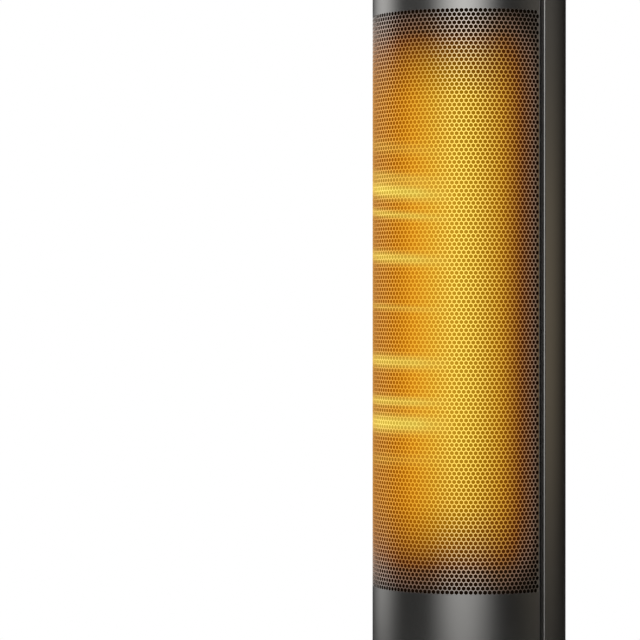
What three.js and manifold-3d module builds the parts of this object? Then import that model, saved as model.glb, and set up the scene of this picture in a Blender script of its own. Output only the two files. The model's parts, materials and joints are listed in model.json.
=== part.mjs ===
// A free-standing tower heater that sways on a round weighted base.
// Millimetres, +Z up. The grille faces -Y, and the origin is the centre of the footprint.
import * as THREE from 'three';
import { mergeVertices } from 'three/addons/utils/BufferGeometryUtils.js';
import Module from 'manifold-3d';

const wasm = await Module();
wasm.setup();

// Clearances
const gap = 0.3;                 // between pieces that touch or slide on each other
const overrun = 2;               // how far a cutter runs past the face that it opens
const airGap = 2;                // free air round the blower wheel

// Tower
const overallHeight = 610;
const bodyRadius = 65;
const wall = 2.5;                // moulded shells
const coverWall = 2;             // perforated front cover
const capHeight = 38;
const capEdgeRadius = 10;
const bodyFacets = 36;           // round the whole body
const roundFacets = 20;          // round a middling form
const holeFacets = 12;           // round a shaft or a hole
const smallFacets = 8;           // round a screw

// Joint between the front cover and the rear housing, in degrees from the front
const coverEndAngle = 72;
const housingStartAngle = 74.2;
const tongueEndAngle = 68;
const grooveDepth = 4.3;
const coverLipDepth = 3.7;

// Perforated field of the front cover
const grilleBottom = 135;
const topBand = 53;              // plain band between the field and the cap
const grilleColumns = 5;
const grilleRows = 14;
const holeShare = 0.78;          // width of a hole as a share of the pitch
const coverMargin = 3;           // plain strip at each side of the field, in degrees

// Base
const footHeight = 3;
const footRadius = 8;
const footInset = 15;            // from the edge of the base to the centre of a foot
const baseRadius = 95;
const baseEdgeHeight = 5;
const baseTop = 26;
const shoulderRadius = 60;
const basePlateThickness = 2.5;
const wellRadius = 50;
const wellDepth = 10;
const ballastHeight = 11;
const ballastPlay = 2;           // between the ballast and the screw bosses
const baseFacets = 28;
const domeSteps = 4;             // from the edge of the base to its shoulder

// Turntable and its bearing
const pivotRadius = 15;
const pivotWall = 3;
const bearingWidth = 7;
const bearingThickness = 1.5;
const turntableInset = 2;
const turntableThickness = 3;
const clipWidth = 6;
const clipThickness = 2.5;
const spigotHeight = 8;
const spigotWidth = 4;
const spigotFrontAngle = 62;
const spigotRearAngle = 86;

// Sway drive: an external gear fixed to the base and a pinion on the turntable
const gearModule = 1.5;
const gearTeeth = 36;
const pinionTeeth = 10;
const pressureAngle = 25;
const addendumShare = 0.9;       // of the module
const dedendumShare = 1.15;
const gearThickness = 8;
const gearRimWidth = 7;
const backlash = 0.3;
const swayMotorRadius = 14;
const swayMotorHeight = 19;
const swayShaftRadius = 2.5;
const swayShaftOffset = 8;

// Blower
const wheelRadius = 26;
const wheelOffset = 14;          // axis of the wheel behind the axis of the tower
const bladeCount = 11;
const bladeDepth = 6;
const bladeThickness = 1.3;
const bladeLean = 25;            // degrees between the inner and the outer edge
const wheelDiscThickness = 2;
const wheelRings = 1;
const shaftRadius = 3;
const hubRadius = 8;
const voluteStart = 70;          // degrees round the wheel, from +X
const voluteEnd = 215;
const voluteGrowth = 9;
const airTongueAngles = [-5, -15, -25];
const hubHeight = 10;
const motorRadius = 27;
const motorHeight = 42;
const deckThickness = 3;
const deckDrop = 4;              // from the perforated field to the nearer deck

// Heating element
const frameWidth = 72;
const frameDepth = 14;
const frameBar = 7;
const frameEndBar = 16;
const frameRear = 20;            // rear face of the frame before the axis of the tower
const crossbars = 3;
const crossbarHeight = 4;
const crossbarDepth = 2;
const coreBars = 4;
const coreBarWidth = 3;
const finPitch = 38;
const finThickness = 0.9;

// Rear openings and what sits in them
const intakeHalfAngle = 30;
const intakeMargin = 40;
const intakeSlots = 7;           // upright slots side by side, in each row
const intakeRows = 3;
const intakeRib = 5;
const intakeSlotWidth = 4.6;
const filterThickness = 2;
const handleHalfWidth = 25;
const handleHeight = 32;
const handleDepth = 20;
const handleDrop = 8;
const glandHeight = 66;
const glandRadius = 6.5;
const glandLength = 16;
const cordRadius = 3.5;
const switchRise = 32;           // from the gland up to the switch
const switchWidth = 15;
const switchLength = 21;
const switchBezel = 1.6;
const switchDepth = 14;
const rockerTilt = 9;
const rockerEndAngle = 28;       // half of each rounded end, in degrees
const rockerDepthShare = 0.55;   // of its half length
const rockerDishShare = 0.3;
const rockerKeelShare = 0.28;

// Control panel
const panelRadius = 52;
const panelRecess = 2.5;
const ledgeWidth = 6;
const buttonRadius = 6;
const buttonFlange = 1.4;
const buttonProud = 1.2;
const buttonTravel = 1;
const buttonSpacing = 20;
const buttonRowSpacing = 16;
const buttonRowStart = 6.5;
const lensWidth = 46;
const lensDepth = 17;
const lensCentre = 17;
const boardThickness = 1.6;
const boardDrop = 11;
const boardWidth = 62;
const boardDepth = 60;
const postRadius = 2.5;

// Electrics in the foot of the tower
const powerBoardWidth = 76;
const powerBoardHeight = 78;
const powerBoardOffset = 26;
const relaySize = 15;
const transformerShares = [1.6, 1.1, 1.3];   // of the relay's size: width, depth, height
const capacitorShares = [0.5, 0.5, 2];
const sinkFins = 6;
const sinkFinDepth = 12;
const wireRadius = 1.6;
const leadAngle = -97;           // where the panel lead climbs past the decks
const leadInset = 4.6;           // from the rim of a deck
const heaterLeadX = 14;
const leadTurnShare = 0.85;      // how far out a lead starts to turn

// Screws
const screwRadius = 1.6;
const screwHeadRadius = 3.4;
const screwHeadHeight = 1.5;
const screwCrownShare = 0.7;     // flat top of the head as a share of its radius
const screwLength = 11;
const screwInset = 19;           // from the edge of the base to a base screw
const screwBossRadius = 4.2;
const housingScrewAngles = [115, 245];

// Levels worked out from the sizes above
const footCircle = baseRadius - footInset;
const screwCircle = baseRadius - screwInset;
const plateTop = footHeight + basePlateThickness;
const wellFloor = baseTop - wellDepth;
const turntableBottom = baseTop + gap + bearingThickness + gap;
const turntableTop = turntableBottom + turntableThickness;
const towerBottom = turntableTop + gap;
const capBottom = overallHeight - capHeight;
const capTop = overallHeight - buttonProud;
const shellTop = capBottom - gap;
const grilleTop = capBottom - topBand;
const grilleHeight = grilleTop - grilleBottom;
const lowerDeck = grilleBottom - deckDrop - deckThickness;
const upperDeck = grilleTop + deckDrop;
const bayBottom = lowerDeck + deckThickness + gap;
const bayTop = upperDeck - gap;
const tongueOuter = bodyRadius - grooveDepth;
const tongueInner = tongueOuter - wall;
const deckRadius = tongueInner - 2 * gap;
const switchHeight = glandHeight + switchRise;
const housingInner = bodyRadius - wall;
const coverHalfPitch = 2 * (coverEndAngle - coverMargin) / (2 * grilleColumns + 1);
const leadRadius = deckRadius - leadInset;
const heaterLeadY = -(deckRadius + frameRear + frameDepth) / 2;
const gearPitchRadius = gearModule * gearTeeth / 2;
const pinionPitchRadius = gearModule * pinionTeeth / 2;
const pinionCentre = gearPitchRadius + pinionPitchRadius;

const radians = THREE.MathUtils.degToRad;

// The cover is flat between its columns, so its inside comes nearer to the axis there
const coverInner = (bodyRadius - coverWall) * Math.cos(radians(coverHalfPitch / 2));

// A point at an angle in degrees from the front, positive towards +X
function polar(radius, angle) {
  return new THREE.Vector2(radius * Math.sin(radians(angle)), -radius * Math.cos(radians(angle)));
}

// Closed three.js geometry to a solid, and back
function solid(geometry) {
  const flat = geometry.index ? geometry.toNonIndexed() : geometry;
  const bare = new THREE.BufferGeometry();
  bare.setAttribute('position', flat.getAttribute('position'));
  const merged = mergeVertices(bare, 1e-3);
  return new wasm.Manifold(new wasm.Mesh({
    numProp: 3,
    vertProperties: new Float32Array(merged.attributes.position.array),
    triVerts: new Uint32Array(merged.index.array),
  }));
}

function geometryOf(body) {
  const mesh = body.getMesh();
  const geometry = new THREE.BufferGeometry();
  geometry.setAttribute('position', new THREE.BufferAttribute(mesh.vertProperties, 3));
  geometry.setIndex(new THREE.BufferAttribute(mesh.triVerts, 1));
  return geometry;
}

function joined(bodies) {
  return bodies.reduce((whole, body) => whole.add(body));
}

function without(body, cutters) {
  return cutters.reduce((rest, cutter) => rest.subtract(cutter), body);
}

// Basic forms, each standing on the level that it is given
function extruded(shape, bottom, height, steps = 12) {
  const geometry = new THREE.ExtrudeGeometry(shape, {
    depth: height, bevelEnabled: false, curveSegments: steps,
  });
  return solid(geometry.translate(0, 0, bottom));
}

function outline(points) {
  return new THREE.Shape(points);
}

function disc(radius, bottom, height, x = 0, y = 0, facets = roundFacets) {
  const geometry = new THREE.CylinderGeometry(radius, radius, height, facets).rotateX(Math.PI / 2);
  return solid(geometry.translate(x, y, bottom + height / 2));
}

function ring(inner, outer, bottom, height, x = 0, y = 0, facets = roundFacets) {
  const hole = disc(inner, bottom - overrun, height + 2 * overrun, x, y, facets);
  return disc(outer, bottom, height, x, y, facets).subtract(hole);
}

function block(width, depth, height, x, y, bottom) {
  const geometry = new THREE.BoxGeometry(width, depth, height);
  return solid(geometry.translate(x, y, bottom + height / 2));
}

function revolved(profile, facets) {
  const closed = [...profile, profile[0]];
  return solid(new THREE.LatheGeometry(closed, facets).rotateX(Math.PI / 2));
}

// Curved wall between two angles from the front
function sector(inner, outer, start, end, bottom, height) {
  const shape = new THREE.Shape();
  shape.absarc(0, 0, outer, radians(start - 90), radians(end - 90), false);
  shape.absarc(0, 0, inner, radians(end - 90), radians(start - 90), true);
  shape.closePath();
  const steps = Math.max(2, Math.ceil(bodyFacets * (end - start) / 360));
  return extruded(shape, bottom, height, steps);
}

// Wall of even thickness along an open line of points
function band(points, thickness) {
  const sides = [[], []];
  points.forEach((point, index) => {
    const before = points[Math.max(index - 1, 0)];
    const after = points[Math.min(index + 1, points.length - 1)];
    const along = after.clone().sub(before).normalize();
    const across = new THREE.Vector2(-along.y, along.x).multiplyScalar(thickness / 2);
    sides[0].push(point.clone().sub(across));
    sides[1].unshift(point.clone().add(across));
  });
  return outline([...sides[0], ...sides[1]]);
}

function roundedRectangle(width, depth, radius, x, y) {
  const shape = new THREE.Shape();
  const right = x + width / 2 - radius;
  const left = x - width / 2 + radius;
  const rear = y + depth / 2 - radius;
  const front = y - depth / 2 + radius;
  shape.absarc(right, front, radius, -Math.PI / 2, 0, false);
  shape.absarc(right, rear, radius, 0, Math.PI / 2, false);
  shape.absarc(left, rear, radius, Math.PI / 2, Math.PI, false);
  shape.absarc(left, front, radius, Math.PI, 1.5 * Math.PI, false);
  shape.closePath();
  return shape;
}

// Wire along a smooth curve
function wire(points, radius) {
  const route = new THREE.CatmullRomCurve3(points);
  const sides = 6;
  const section = outline(Array.from({ length: sides }, (unused, side) => {
    const turn = 2 * Math.PI * side / sides;
    return new THREE.Vector2(radius * Math.cos(turn), radius * Math.sin(turn));
  }));
  const steps = Math.min(22, Math.ceil(route.getLength() / (6 * radius)));
  return solid(new THREE.ExtrudeGeometry(section, { steps, extrudePath: route, bevelEnabled: false }));
}

const heater = new THREE.Group();

function place(name, body, material) {
  const mesh = new THREE.Mesh(geometryOf(body), material.clone());
  mesh.name = name;
  heater.add(mesh);
}

// Materials
function finish(color, roughness, metalness = 0) {
  return new THREE.MeshStandardMaterial({ color, roughness, metalness });
}
const metallicGrey = finish(0x5c5a57, 0.38, 0.6);
const darkPlastic = finish(0x2b2b2c, 0.5);
const glossBlack = finish(0x0c0c0d, 0.12);
const rubber = finish(0x161616, 0.85);
const steel = finish(0xb4b4b6, 0.35, 1);
const castIron = finish(0x4a4a4c, 0.7, 0.8);
const aluminium = finish(0xc2c4c6, 0.4, 1);
const whitePlastic = finish(0xe2e0da, 0.5);
const boardGreen = finish(0x1e5a38, 0.55);
const filterGrey = finish(0x3c3c3e, 0.95);
const amberFrame = finish(0x8a5a22, 0.7);
const wireRed = finish(0x9c2a22, 0.6);
const smokedLens = finish(0x18100e, 0.08);

// Base: a domed shell with a bearing shoulder and a gear well, closed from below
function domeProfile(inset, steps) {
  const springing = footHeight + baseEdgeHeight;
  return Array.from({ length: steps + 1 }, (unused, step) => {
    const turn = Math.PI / 2 * step / steps;
    const reach = baseRadius - shoulderRadius - inset;
    const rise = baseTop - springing - inset;
    return new THREE.Vector2(
      shoulderRadius + reach * Math.cos(turn), springing + rise * Math.sin(turn));
  });
}

function screwPlaces() {
  return Array.from({ length: 4 }, (unused, index) => polar(screwCircle, 90 * index));
}

function baseShell() {
  const point = (radius, level) => new THREE.Vector2(radius, level);
  const bore = pivotRadius + gap;
  const skin = revolved([
    point(baseRadius, footHeight),
    ...domeProfile(0, domeSteps),
    point(wellRadius, baseTop),
    point(wellRadius, wellFloor),
    point(bore, wellFloor),
    point(bore, wellFloor - wall),
    point(wellRadius + wall, wellFloor - wall),
    point(wellRadius + wall, baseTop - wall),
    ...domeProfile(wall, domeSteps / 2).reverse(),
    point(baseRadius - wall, footHeight),
  ], baseFacets);
  const envelope = revolved([
    point(0, footHeight),
    point(baseRadius, footHeight),
    ...domeProfile(0, domeSteps),
    point(0, baseTop),
  ], baseFacets);
  const bossBottom = plateTop + gap;
  const bosses = screwPlaces().map((at) =>
    disc(screwBossRadius, bossBottom, baseTop - bossBottom, at.x, at.y, holeFacets).intersect(envelope));
  const pilots = screwPlaces().map((at) =>
    disc(screwRadius + gap, bossBottom - overrun, screwLength + overrun, at.x, at.y, smallFacets));
  return without(joined([skin, ...bosses]), pilots);
}

function basePlate() {
  const sheet = disc(baseRadius - wall - gap, footHeight, basePlateThickness, 0, 0, baseFacets);
  return without(sheet, screwPlaces().map((at) => disc(
    screwRadius + gap, footHeight - overrun, basePlateThickness + 2 * overrun, at.x, at.y, smallFacets)));
}

function ballastRing() {
  const outer = screwCircle - screwBossRadius - ballastPlay;
  return ring(wellRadius + wall + gap, outer, plateTop + gap, ballastHeight, 0, 0, baseFacets);
}

function screw(length) {
  const point = (radius, level) => new THREE.Vector2(radius, level);
  return revolved([
    point(0, -screwHeadHeight),
    point(screwHeadRadius * screwCrownShare, -screwHeadHeight),
    point(screwHeadRadius, -screwHeadHeight / 2),
    point(screwHeadRadius, 0),
    point(screwRadius, 0),
    point(screwRadius, length - screwRadius),
    point(0, length),
  ], smallFacets);
}

function foot() {
  const point = (radius, level) => new THREE.Vector2(radius, level);
  const top = footHeight - gap;
  return revolved([
    point(0, 0),
    point(footRadius - top / 2, 0),
    point(footRadius, top / 2),
    point(footRadius, top),
    point(0, top),
  ], holeFacets);
}

// Involute spur gear outline; each flank has a root, a middle and a tip point
function gearOutline(teeth, phase, bore) {
  const pitch = gearModule * teeth / 2;
  const circle = pitch * Math.cos(radians(pressureAngle));
  const tip = pitch + addendumShare * gearModule;
  const root = pitch - dedendumShare * gearModule;
  const involute = (radius) => {
    const angle = Math.acos(Math.min(1, circle / radius));
    return Math.tan(angle) - angle;
  };
  const halfTooth = Math.PI / teeth / 2 - backlash / pitch / 2;
  const halfAt = (radius) => halfTooth + involute(pitch) - involute(radius);
  const start = Math.max(circle, root);
  const flank = [root, start, tip];
  const points = [];
  for (let tooth = 0; tooth < teeth; tooth += 1) {
    const centre = phase + 2 * Math.PI * tooth / teeth;
    const spot = (radius, side) => {
      const turn = centre + side * halfAt(Math.max(radius, start));
      return new THREE.Vector2(radius * Math.cos(turn), radius * Math.sin(turn));
    };
    const rising = start - root < gap / 2 ? flank.slice(1) : flank;
    rising.forEach((radius) => points.push(spot(radius, -1)));
    [...rising].reverse().forEach((radius) => points.push(spot(radius, 1)));
  }
  const shape = outline(points);
  if (bore > 0) {
    shape.holes.push(new THREE.Path().absarc(0, 0, bore, 0, 2 * Math.PI, true));
  }
  return shape;
}

// The gear has a tooth and the pinion a space on the line between their centres
const gearBottom = wellFloor + gap;
const gearPhase = Math.PI / 2;
const pinionPhase = -Math.PI / 2 + Math.PI / pinionTeeth;

function swayGear() {
  return extruded(gearOutline(gearTeeth, gearPhase, gearPitchRadius - gearRimWidth),
    gearBottom, gearThickness, smallFacets);
}

function swayPinion() {
  const top = turntableTop + gap + swayMotorHeight / 2;
  const teeth = extruded(gearOutline(pinionTeeth, pinionPhase, 0), gearBottom, gearThickness);
  const spindle = disc(swayShaftRadius, gearBottom + gearThickness / 2,
    top - gearBottom - gearThickness / 2, 0, 0, holeFacets);
  return teeth.add(spindle).translate([0, pinionCentre, 0]);
}

place('base_shell', baseShell(), darkPlastic);
place('base_plate', basePlate(), darkPlastic);
place('ballast_ring', ballastRing(), castIron);
place('sway_gear', swayGear(), whitePlastic);
place('sway_pinion', swayPinion(), whitePlastic);
for (let index = 0; index < 4; index += 1) {
  const at = polar(footCircle, 45 + 90 * index);
  place(`foot_${index + 1}`, foot().translate([at.x, at.y, 0]), rubber);
}
screwPlaces().forEach((at, index) => {
  const under = screw(screwLength).translate([at.x, at.y, footHeight - gap]);
  place(`base_screw_${index + 1}`, under, steel);
});
const bearingInner = wellRadius + gap;
place('bearing_ring', ring(bearingInner, bearingInner + bearingWidth, baseTop + gap,
  bearingThickness, 0, 0, baseFacets), whitePlastic);

// Turntable: the disc that carries the tower, with its hollow pivot
function spigots(bottom, height) {
  const front = coverInner - gap;
  const rear = housingInner - gap;
  return [
    sector(front - spigotWidth, front, -spigotFrontAngle, spigotFrontAngle, bottom, height),
    sector(rear - spigotWidth, rear, spigotRearAngle, 360 - spigotRearAngle, bottom, height),
  ];
}

const clipTop = wellFloor - wall - gap;
const pivotBottom = clipTop - clipThickness - gap;

function turntable() {
  const radius = bodyRadius - turntableInset;
  const plate = disc(radius, turntableBottom, turntableThickness, 0, 0, bodyFacets);
  const pivot = disc(pivotRadius, pivotBottom, turntableBottom - pivotBottom + gap);
  const bore = disc(pivotRadius - pivotWall, pivotBottom - overrun,
    turntableTop - pivotBottom + 2 * overrun);
  const spindleHole = disc(swayShaftRadius + gap, turntableBottom - overrun,
    turntableThickness + 2 * overrun, 0, pinionCentre, holeFacets);
  const sunk = turntableThickness / 2;
  const posts = spigots(turntableTop - sunk, spigotHeight + sunk);
  const pilots = housingScrewAngles.map((angle) => housingPilot(angle, housingScrewLevel));
  return without(joined([plate, pivot, ...posts]), [bore, spindleHole, ...pilots]);
}

// Radial screws that hold the rear housing to the spigots
const housingScrewLevel = turntableTop + spigotHeight / 2;

function radial(body, angle, level) {
  return body.rotate([90, 0, 0]).rotate([0, 0, angle]).translate([0, 0, level]);
}

function housingPilot(angle, level) {
  const length = wall + spigotWidth + 2 * overrun;
  return radial(disc(screwRadius + gap, bodyRadius + overrun - length, length, 0, 0, holeFacets),
    angle, level);
}

place('turntable', turntable(), darkPlastic);
place('pivot_clip', ring(pivotRadius + gap, pivotRadius + gap + clipWidth,
  clipTop - clipThickness, clipThickness), steel);

// Front cover: a thin curved sheet with honeycomb holes between two plain bands.
// It is laid out in half-pitch columns round the body and in rows up it.
function coverColumns() {
  const edge = coverEndAngle;
  const inset = THREE.MathUtils.radToDeg(coverWall / bodyRadius);
  const tip = bodyRadius - coverLipDepth;
  const halves = 2 * grilleColumns + 1;
  const start = -(edge - coverMargin);
  const step = coverHalfPitch;
  const fold = (radius, innerRadius, side) => ({
    outer: () => polar(radius, side * edge),
    inner: () => polar(innerRadius, side * (edge - inset)),
    field: false,
  });
  const field = Array.from({ length: halves + 1 }, (unused, index) => {
    const angle = start + step * index;
    const at = (shift) => angle + shift * step;
    return {
      outer: (shift = 0) => polar(bodyRadius, at(shift)),
      inner: (shift = 0) => polar(bodyRadius - coverWall, at(shift)),
      field: true,
    };
  });
  return [
    fold(tip, tip, -1), fold(bodyRadius, bodyRadius - coverWall, -1),
    ...field,
    fold(bodyRadius, bodyRadius - coverWall, 1), fold(tip, tip, 1),
  ];
}

function frontCover() {
  const columns = coverColumns();
  const first = columns.findIndex((column) => column.field);
  const rowPitch = grilleHeight / grilleRows;
  const ripple = rowPitch / 6;
  const positions = [];
  const spot = (column, side, level, shift = 0) => {
    const at = columns[column][side](shift);
    return new THREE.Vector3(at.x, at.y, level);
  };
  const quad = (a, b, c, d) => {
    [a, b, c, a, c, d].forEach((point) => positions.push(point.x, point.y, point.z));
  };
  // Level of the line between two rows at a column: it zigzags inside the field
  const lineAt = (row, column) => {
    const level = grilleBottom + row * rowPitch;
    if (!columns[column].field) return level;
    const peak = (column - first + row) % 2 === 0 ? 1 : -1;
    return level + peak * ripple;
  };
  const levels = [
    () => towerBottom,
    ...Array.from({ length: grilleRows + 1 }, (unused, row) => (column) => lineAt(row, column)),
    () => shellTop,
  ];
  const strip = (low, high, left) => {
    const right = left + 1;
    quad(spot(left, 'outer', low(left)), spot(right, 'outer', low(right)),
      spot(right, 'outer', high(right)), spot(left, 'outer', high(left)));
    quad(spot(right, 'inner', low(right)), spot(left, 'inner', low(left)),
      spot(left, 'inner', high(left)), spot(right, 'inner', high(right)));
  };
  const cell = (row, centre) => {
    const around = [
      [row, -1], [row, 0], [row, 1], [row + 1, 1], [row + 1, 0], [row + 1, -1],
    ];
    const middle = grilleBottom + (row + 0.5) * rowPitch;
    const rim = (side) => around.map(([line, shift]) =>
      spot(centre + shift, side, lineAt(line, centre + shift)));
    const hole = (side) => around.map(([line, shift]) => spot(centre, side,
      middle + holeShare * (lineAt(line, centre + shift) - middle), holeShare * shift));
    const [outerRim, innerRim] = [rim('outer'), rim('inner')];
    const [outerHole, innerHole] = [hole('outer'), hole('inner')];
    around.forEach((unused, index) => {
      const next = (index + 1) % around.length;
      quad(outerRim[index], outerRim[next], outerHole[next], outerHole[index]);
      quad(innerRim[next], innerRim[index], innerHole[index], innerHole[next]);
      quad(outerHole[index], outerHole[next], innerHole[next], innerHole[index]);
    });
  };
  const last = columns.length - 1;
  levels.slice(0, -1).forEach((low, index) => {
    const high = levels[index + 1];
    const row = index - 1;
    const perforated = row >= 0 && row < grilleRows;
    for (let left = 0; left < last; left += 1) {
      const opens = perforated && columns[left].field && columns[left + 1].field;
      if (!opens) {
        strip(low, high, left);
      } else if ((left - first + row) % 2 === 0) {
        if (left + 2 <= last && columns[left + 2].field) {
          cell(row, left + 1);
          left += 1;
        } else {
          strip(low, high, left);
        }
      } else {
        strip(low, high, left);
      }
    }
    quad(spot(0, 'inner', low(0)), spot(0, 'outer', low(0)),
      spot(0, 'outer', high(0)), spot(0, 'inner', high(0)));
    quad(spot(last, 'outer', low(last)), spot(last, 'inner', low(last)),
      spot(last, 'inner', high(last)), spot(last, 'outer', high(last)));
  });
  for (let left = 0; left < last; left += 1) {
    const right = left + 1;
    quad(spot(right, 'outer', towerBottom), spot(left, 'outer', towerBottom),
      spot(left, 'inner', towerBottom), spot(right, 'inner', towerBottom));
    quad(spot(left, 'outer', shellTop), spot(right, 'outer', shellTop),
      spot(right, 'inner', shellTop), spot(left, 'inner', shellTop));
  }
  const geometry = new THREE.BufferGeometry();
  return solid(geometry.setAttribute('position', new THREE.Float32BufferAttribute(positions, 3)));
}

place('front_cover', frontCover(), metallicGrey);

// Points along an arc between two angles from the front
function arc(radius, start, end) {
  const steps = Math.max(1, Math.ceil(bodyFacets * Math.abs(end - start) / 360));
  return Array.from({ length: steps + 1 }, (unused, step) =>
    polar(radius, start + (end - start) * step / steps));
}

// Rear housing: a C-shaped shell whose front edges step in behind the front cover
const handleBottom = shellTop - handleDrop - handleHeight;
const intakeBottom = grilleBottom + intakeMargin;
const intakeTop = grilleTop - intakeMargin;
const switchBody = switchWidth - 2 * switchBezel;
const switchBodyLength = switchLength - 2 * switchBezel;

function housingOutline() {
  const start = housingStartAngle;
  const end = 360 - housingStartAngle;
  const fold = THREE.MathUtils.radToDeg(wall / bodyRadius);
  return outline([
    ...arc(bodyRadius, start, end),
    ...arc(tongueOuter, end, 360 - tongueEndAngle),
    ...arc(tongueInner, 360 - tongueEndAngle, end - fold),
    ...arc(housingInner, end - fold, start + fold),
    ...arc(tongueInner, start + fold, tongueEndAngle),
    ...arc(tongueOuter, tongueEndAngle, start),
  ]);
}

function rearHole(radius, level) {
  return radial(disc(radius, housingInner - overrun, wall + 2 * overrun), 180, level);
}

function rearHousing() {
  const shell = extruded(housingOutline(), towerBottom, shellTop - towerBottom);
  const intake = sector(housingInner - overrun, bodyRadius + overrun, 180 - intakeHalfAngle,
    180 + intakeHalfAngle, intakeBottom, intakeTop - intakeBottom);
  const handle = block(2 * (handleHalfWidth + gap), bodyRadius, handleHeight + 2 * gap,
    0, bodyRadius, handleBottom - gap);
  const rocker = block(switchBody + 2 * gap, bodyRadius, switchBodyLength + 2 * gap,
    0, bodyRadius, switchHeight - switchBodyLength / 2 - gap);
  const pilots = housingScrewAngles.map((angle) => housingPilot(angle, housingScrewLevel));
  return without(shell, [intake, handle, rocker, rearHole(glandRadius + gap, glandHeight), ...pilots]);
}

// Slotted panel that snaps into the rear window, and the dust filter behind it
function intakeGrille() {
  const play = THREE.MathUtils.radToDeg(gap / housingInner);
  const halfAngle = intakeHalfAngle - play;
  const height = intakeTop - intakeBottom - 2 * gap;
  const bottom = intakeBottom + gap;
  const panel = sector(housingInner, bodyRadius, 180 - halfAngle, 180 + halfAngle, bottom, height);
  const rise = (height - intakeRib) / intakeRows;
  const spread = 2 * halfAngle / intakeSlots;
  const slots = [];
  for (let row = 0; row < intakeRows; row += 1) {
    for (let column = 0; column < intakeSlots; column += 1) {
      const angle = 180 - halfAngle + spread * (column + 0.5);
      slots.push(block(intakeSlotWidth, 2 * wall + 2 * overrun, rise - intakeRib, 0, housingInner, 0)
        .rotate([0, 0, angle - 180])
        .translate([0, 0, bottom + intakeRib + rise * row]));
    }
  }
  return without(panel, slots);
}

function dustFilter() {
  const outer = housingInner - gap;
  const overlap = THREE.MathUtils.radToDeg(intakeRib / bodyRadius);
  return sector(outer - filterThickness, outer, 180 - intakeHalfAngle - overlap,
    180 + intakeHalfAngle + overlap, intakeBottom - intakeRib,
    intakeTop - intakeBottom + 2 * intakeRib);
}

// Finger recess high on the back
function handleCup() {
  const depth = handleDepth + wall;
  const rear = 2 * bodyRadius;
  const outer = block(2 * handleHalfWidth, rear, handleHeight, 0,
    bodyRadius - depth + rear / 2, handleBottom);
  const pocket = block(2 * (handleHalfWidth - wall), rear, handleHeight - 2 * wall, 0,
    bodyRadius - handleDepth + rear / 2, handleBottom + wall);
  const body = disc(bodyRadius, handleBottom - overrun, handleHeight + 2 * overrun, 0, 0, bodyFacets);
  return outer.intersect(body).subtract(pocket);
}

// Cord gland, open right through
function cordGland() {
  const point = (radius, level) => new THREE.Vector2(radius, level);
  const inner = housingInner - glandLength / 2;
  const outer = inner + glandLength;
  const flange = bodyRadius + gap;
  return radial(revolved([
    point(cordRadius, inner),
    point(glandRadius, inner),
    point(glandRadius, flange),
    point(glandRadius + wall, flange),
    point(glandRadius + wall, flange + wall / 2),
    point(cordRadius + wall / 2, outer),
    point(cordRadius, outer),
  ], 14), 180, glandHeight);
}

// Mains rocker switch: a bezel with a box behind it, and a rocker that tilts in it
function switchBlock(width, length, start, depth) {
  return block(width, depth, length, 0, start + depth / 2, switchHeight - length / 2);
}

const bezelStart = bodyRadius + gap;
const rockerWidth = switchBody - 2 * switchBezel;
const rockerLength = switchBodyLength - 2 * switchBezel;
const rockerAxis = bodyRadius - rockerLength / 4;

function switchFrame() {
  const bezel = switchBlock(switchWidth, switchLength, bezelStart, switchBezel);
  const box = switchBlock(switchBody, switchBodyLength, bodyRadius - switchDepth,
    switchDepth + bezelStart - bodyRadius + switchBezel / 2);
  const mouth = switchBlock(rockerWidth + 2 * gap, rockerLength + 2 * gap,
    bodyRadius - switchDepth + wall, switchDepth + overrun);
  return bezel.add(box).subtract(mouth);
}

// The rocker's ends lie on a circle round its axis, so it turns inside the mouth
function switchRocker() {
  const half = rockerLength / 2;
  const shape = new THREE.Shape();
  const spread = radians(rockerEndAngle);
  const keel = half * rockerKeelShare;
  const deep = half * rockerDepthShare;
  shape.absarc(0, 0, half, -spread, spread, false);
  shape.lineTo(0, half * rockerDishShare);
  shape.absarc(0, 0, half, Math.PI - spread, Math.PI + spread, false);
  shape.lineTo(-keel, -deep);
  shape.lineTo(keel, -deep);
  shape.closePath();
  return extruded(shape, -rockerWidth / 2, rockerWidth, 4).rotate([0, 90, 0])
    .rotate([rockerTilt, 0, 0]).translate([0, rockerAxis, switchHeight]);
}

place('rear_housing', rearHousing(), metallicGrey);
place('intake_grille', intakeGrille(), darkPlastic);
place('dust_filter', dustFilter(), filterGrey);
place('handle_cup', handleCup(), darkPlastic);
place('cord_gland', cordGland(), rubber);
place('switch_frame', switchFrame(), darkPlastic);
place('switch_rocker', switchRocker(), glossBlack);
housingScrewAngles.forEach((angle, index) => {
  const length = wall + spigotWidth;
  const fastener = screw(length).rotate([180, 0, 0]).translate([0, 0, bodyRadius + gap]);
  place(`housing_screw_${index + 1}`, radial(fastener, angle, housingScrewLevel), steel);
});

// Decks that close the air path at both ends
function deck(bottom) {
  const plate = extruded(outline([
    ...arc(deckRadius, -spigotRearAngle, spigotRearAngle),
    ...arc(housingInner - gap, spigotRearAngle, 360 - spigotRearAngle),
  ]), bottom, deckThickness);
  const through = (radius, x, y) => disc(
    radius, bottom - overrun, deckThickness + 2 * overrun, x, y, holeFacets);
  const lead = polar(leadRadius, leadAngle);
  return without(plate, [
    through(shaftRadius + gap, 0, wheelOffset),
    through(2 * wireRadius, lead.x, lead.y),
    through(2 * wireRadius, heaterLeadX, heaterLeadY),
  ]);
}

// Cross-flow blower: curved blades between rings, on a shaft between motor and bearing
const wheelBottom = bayBottom + airGap;
const wheelTop = bayTop - airGap;
const motorTop = lowerDeck - gap;
const bearingTop = upperDeck + deckThickness + gap + hubRadius;

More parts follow.
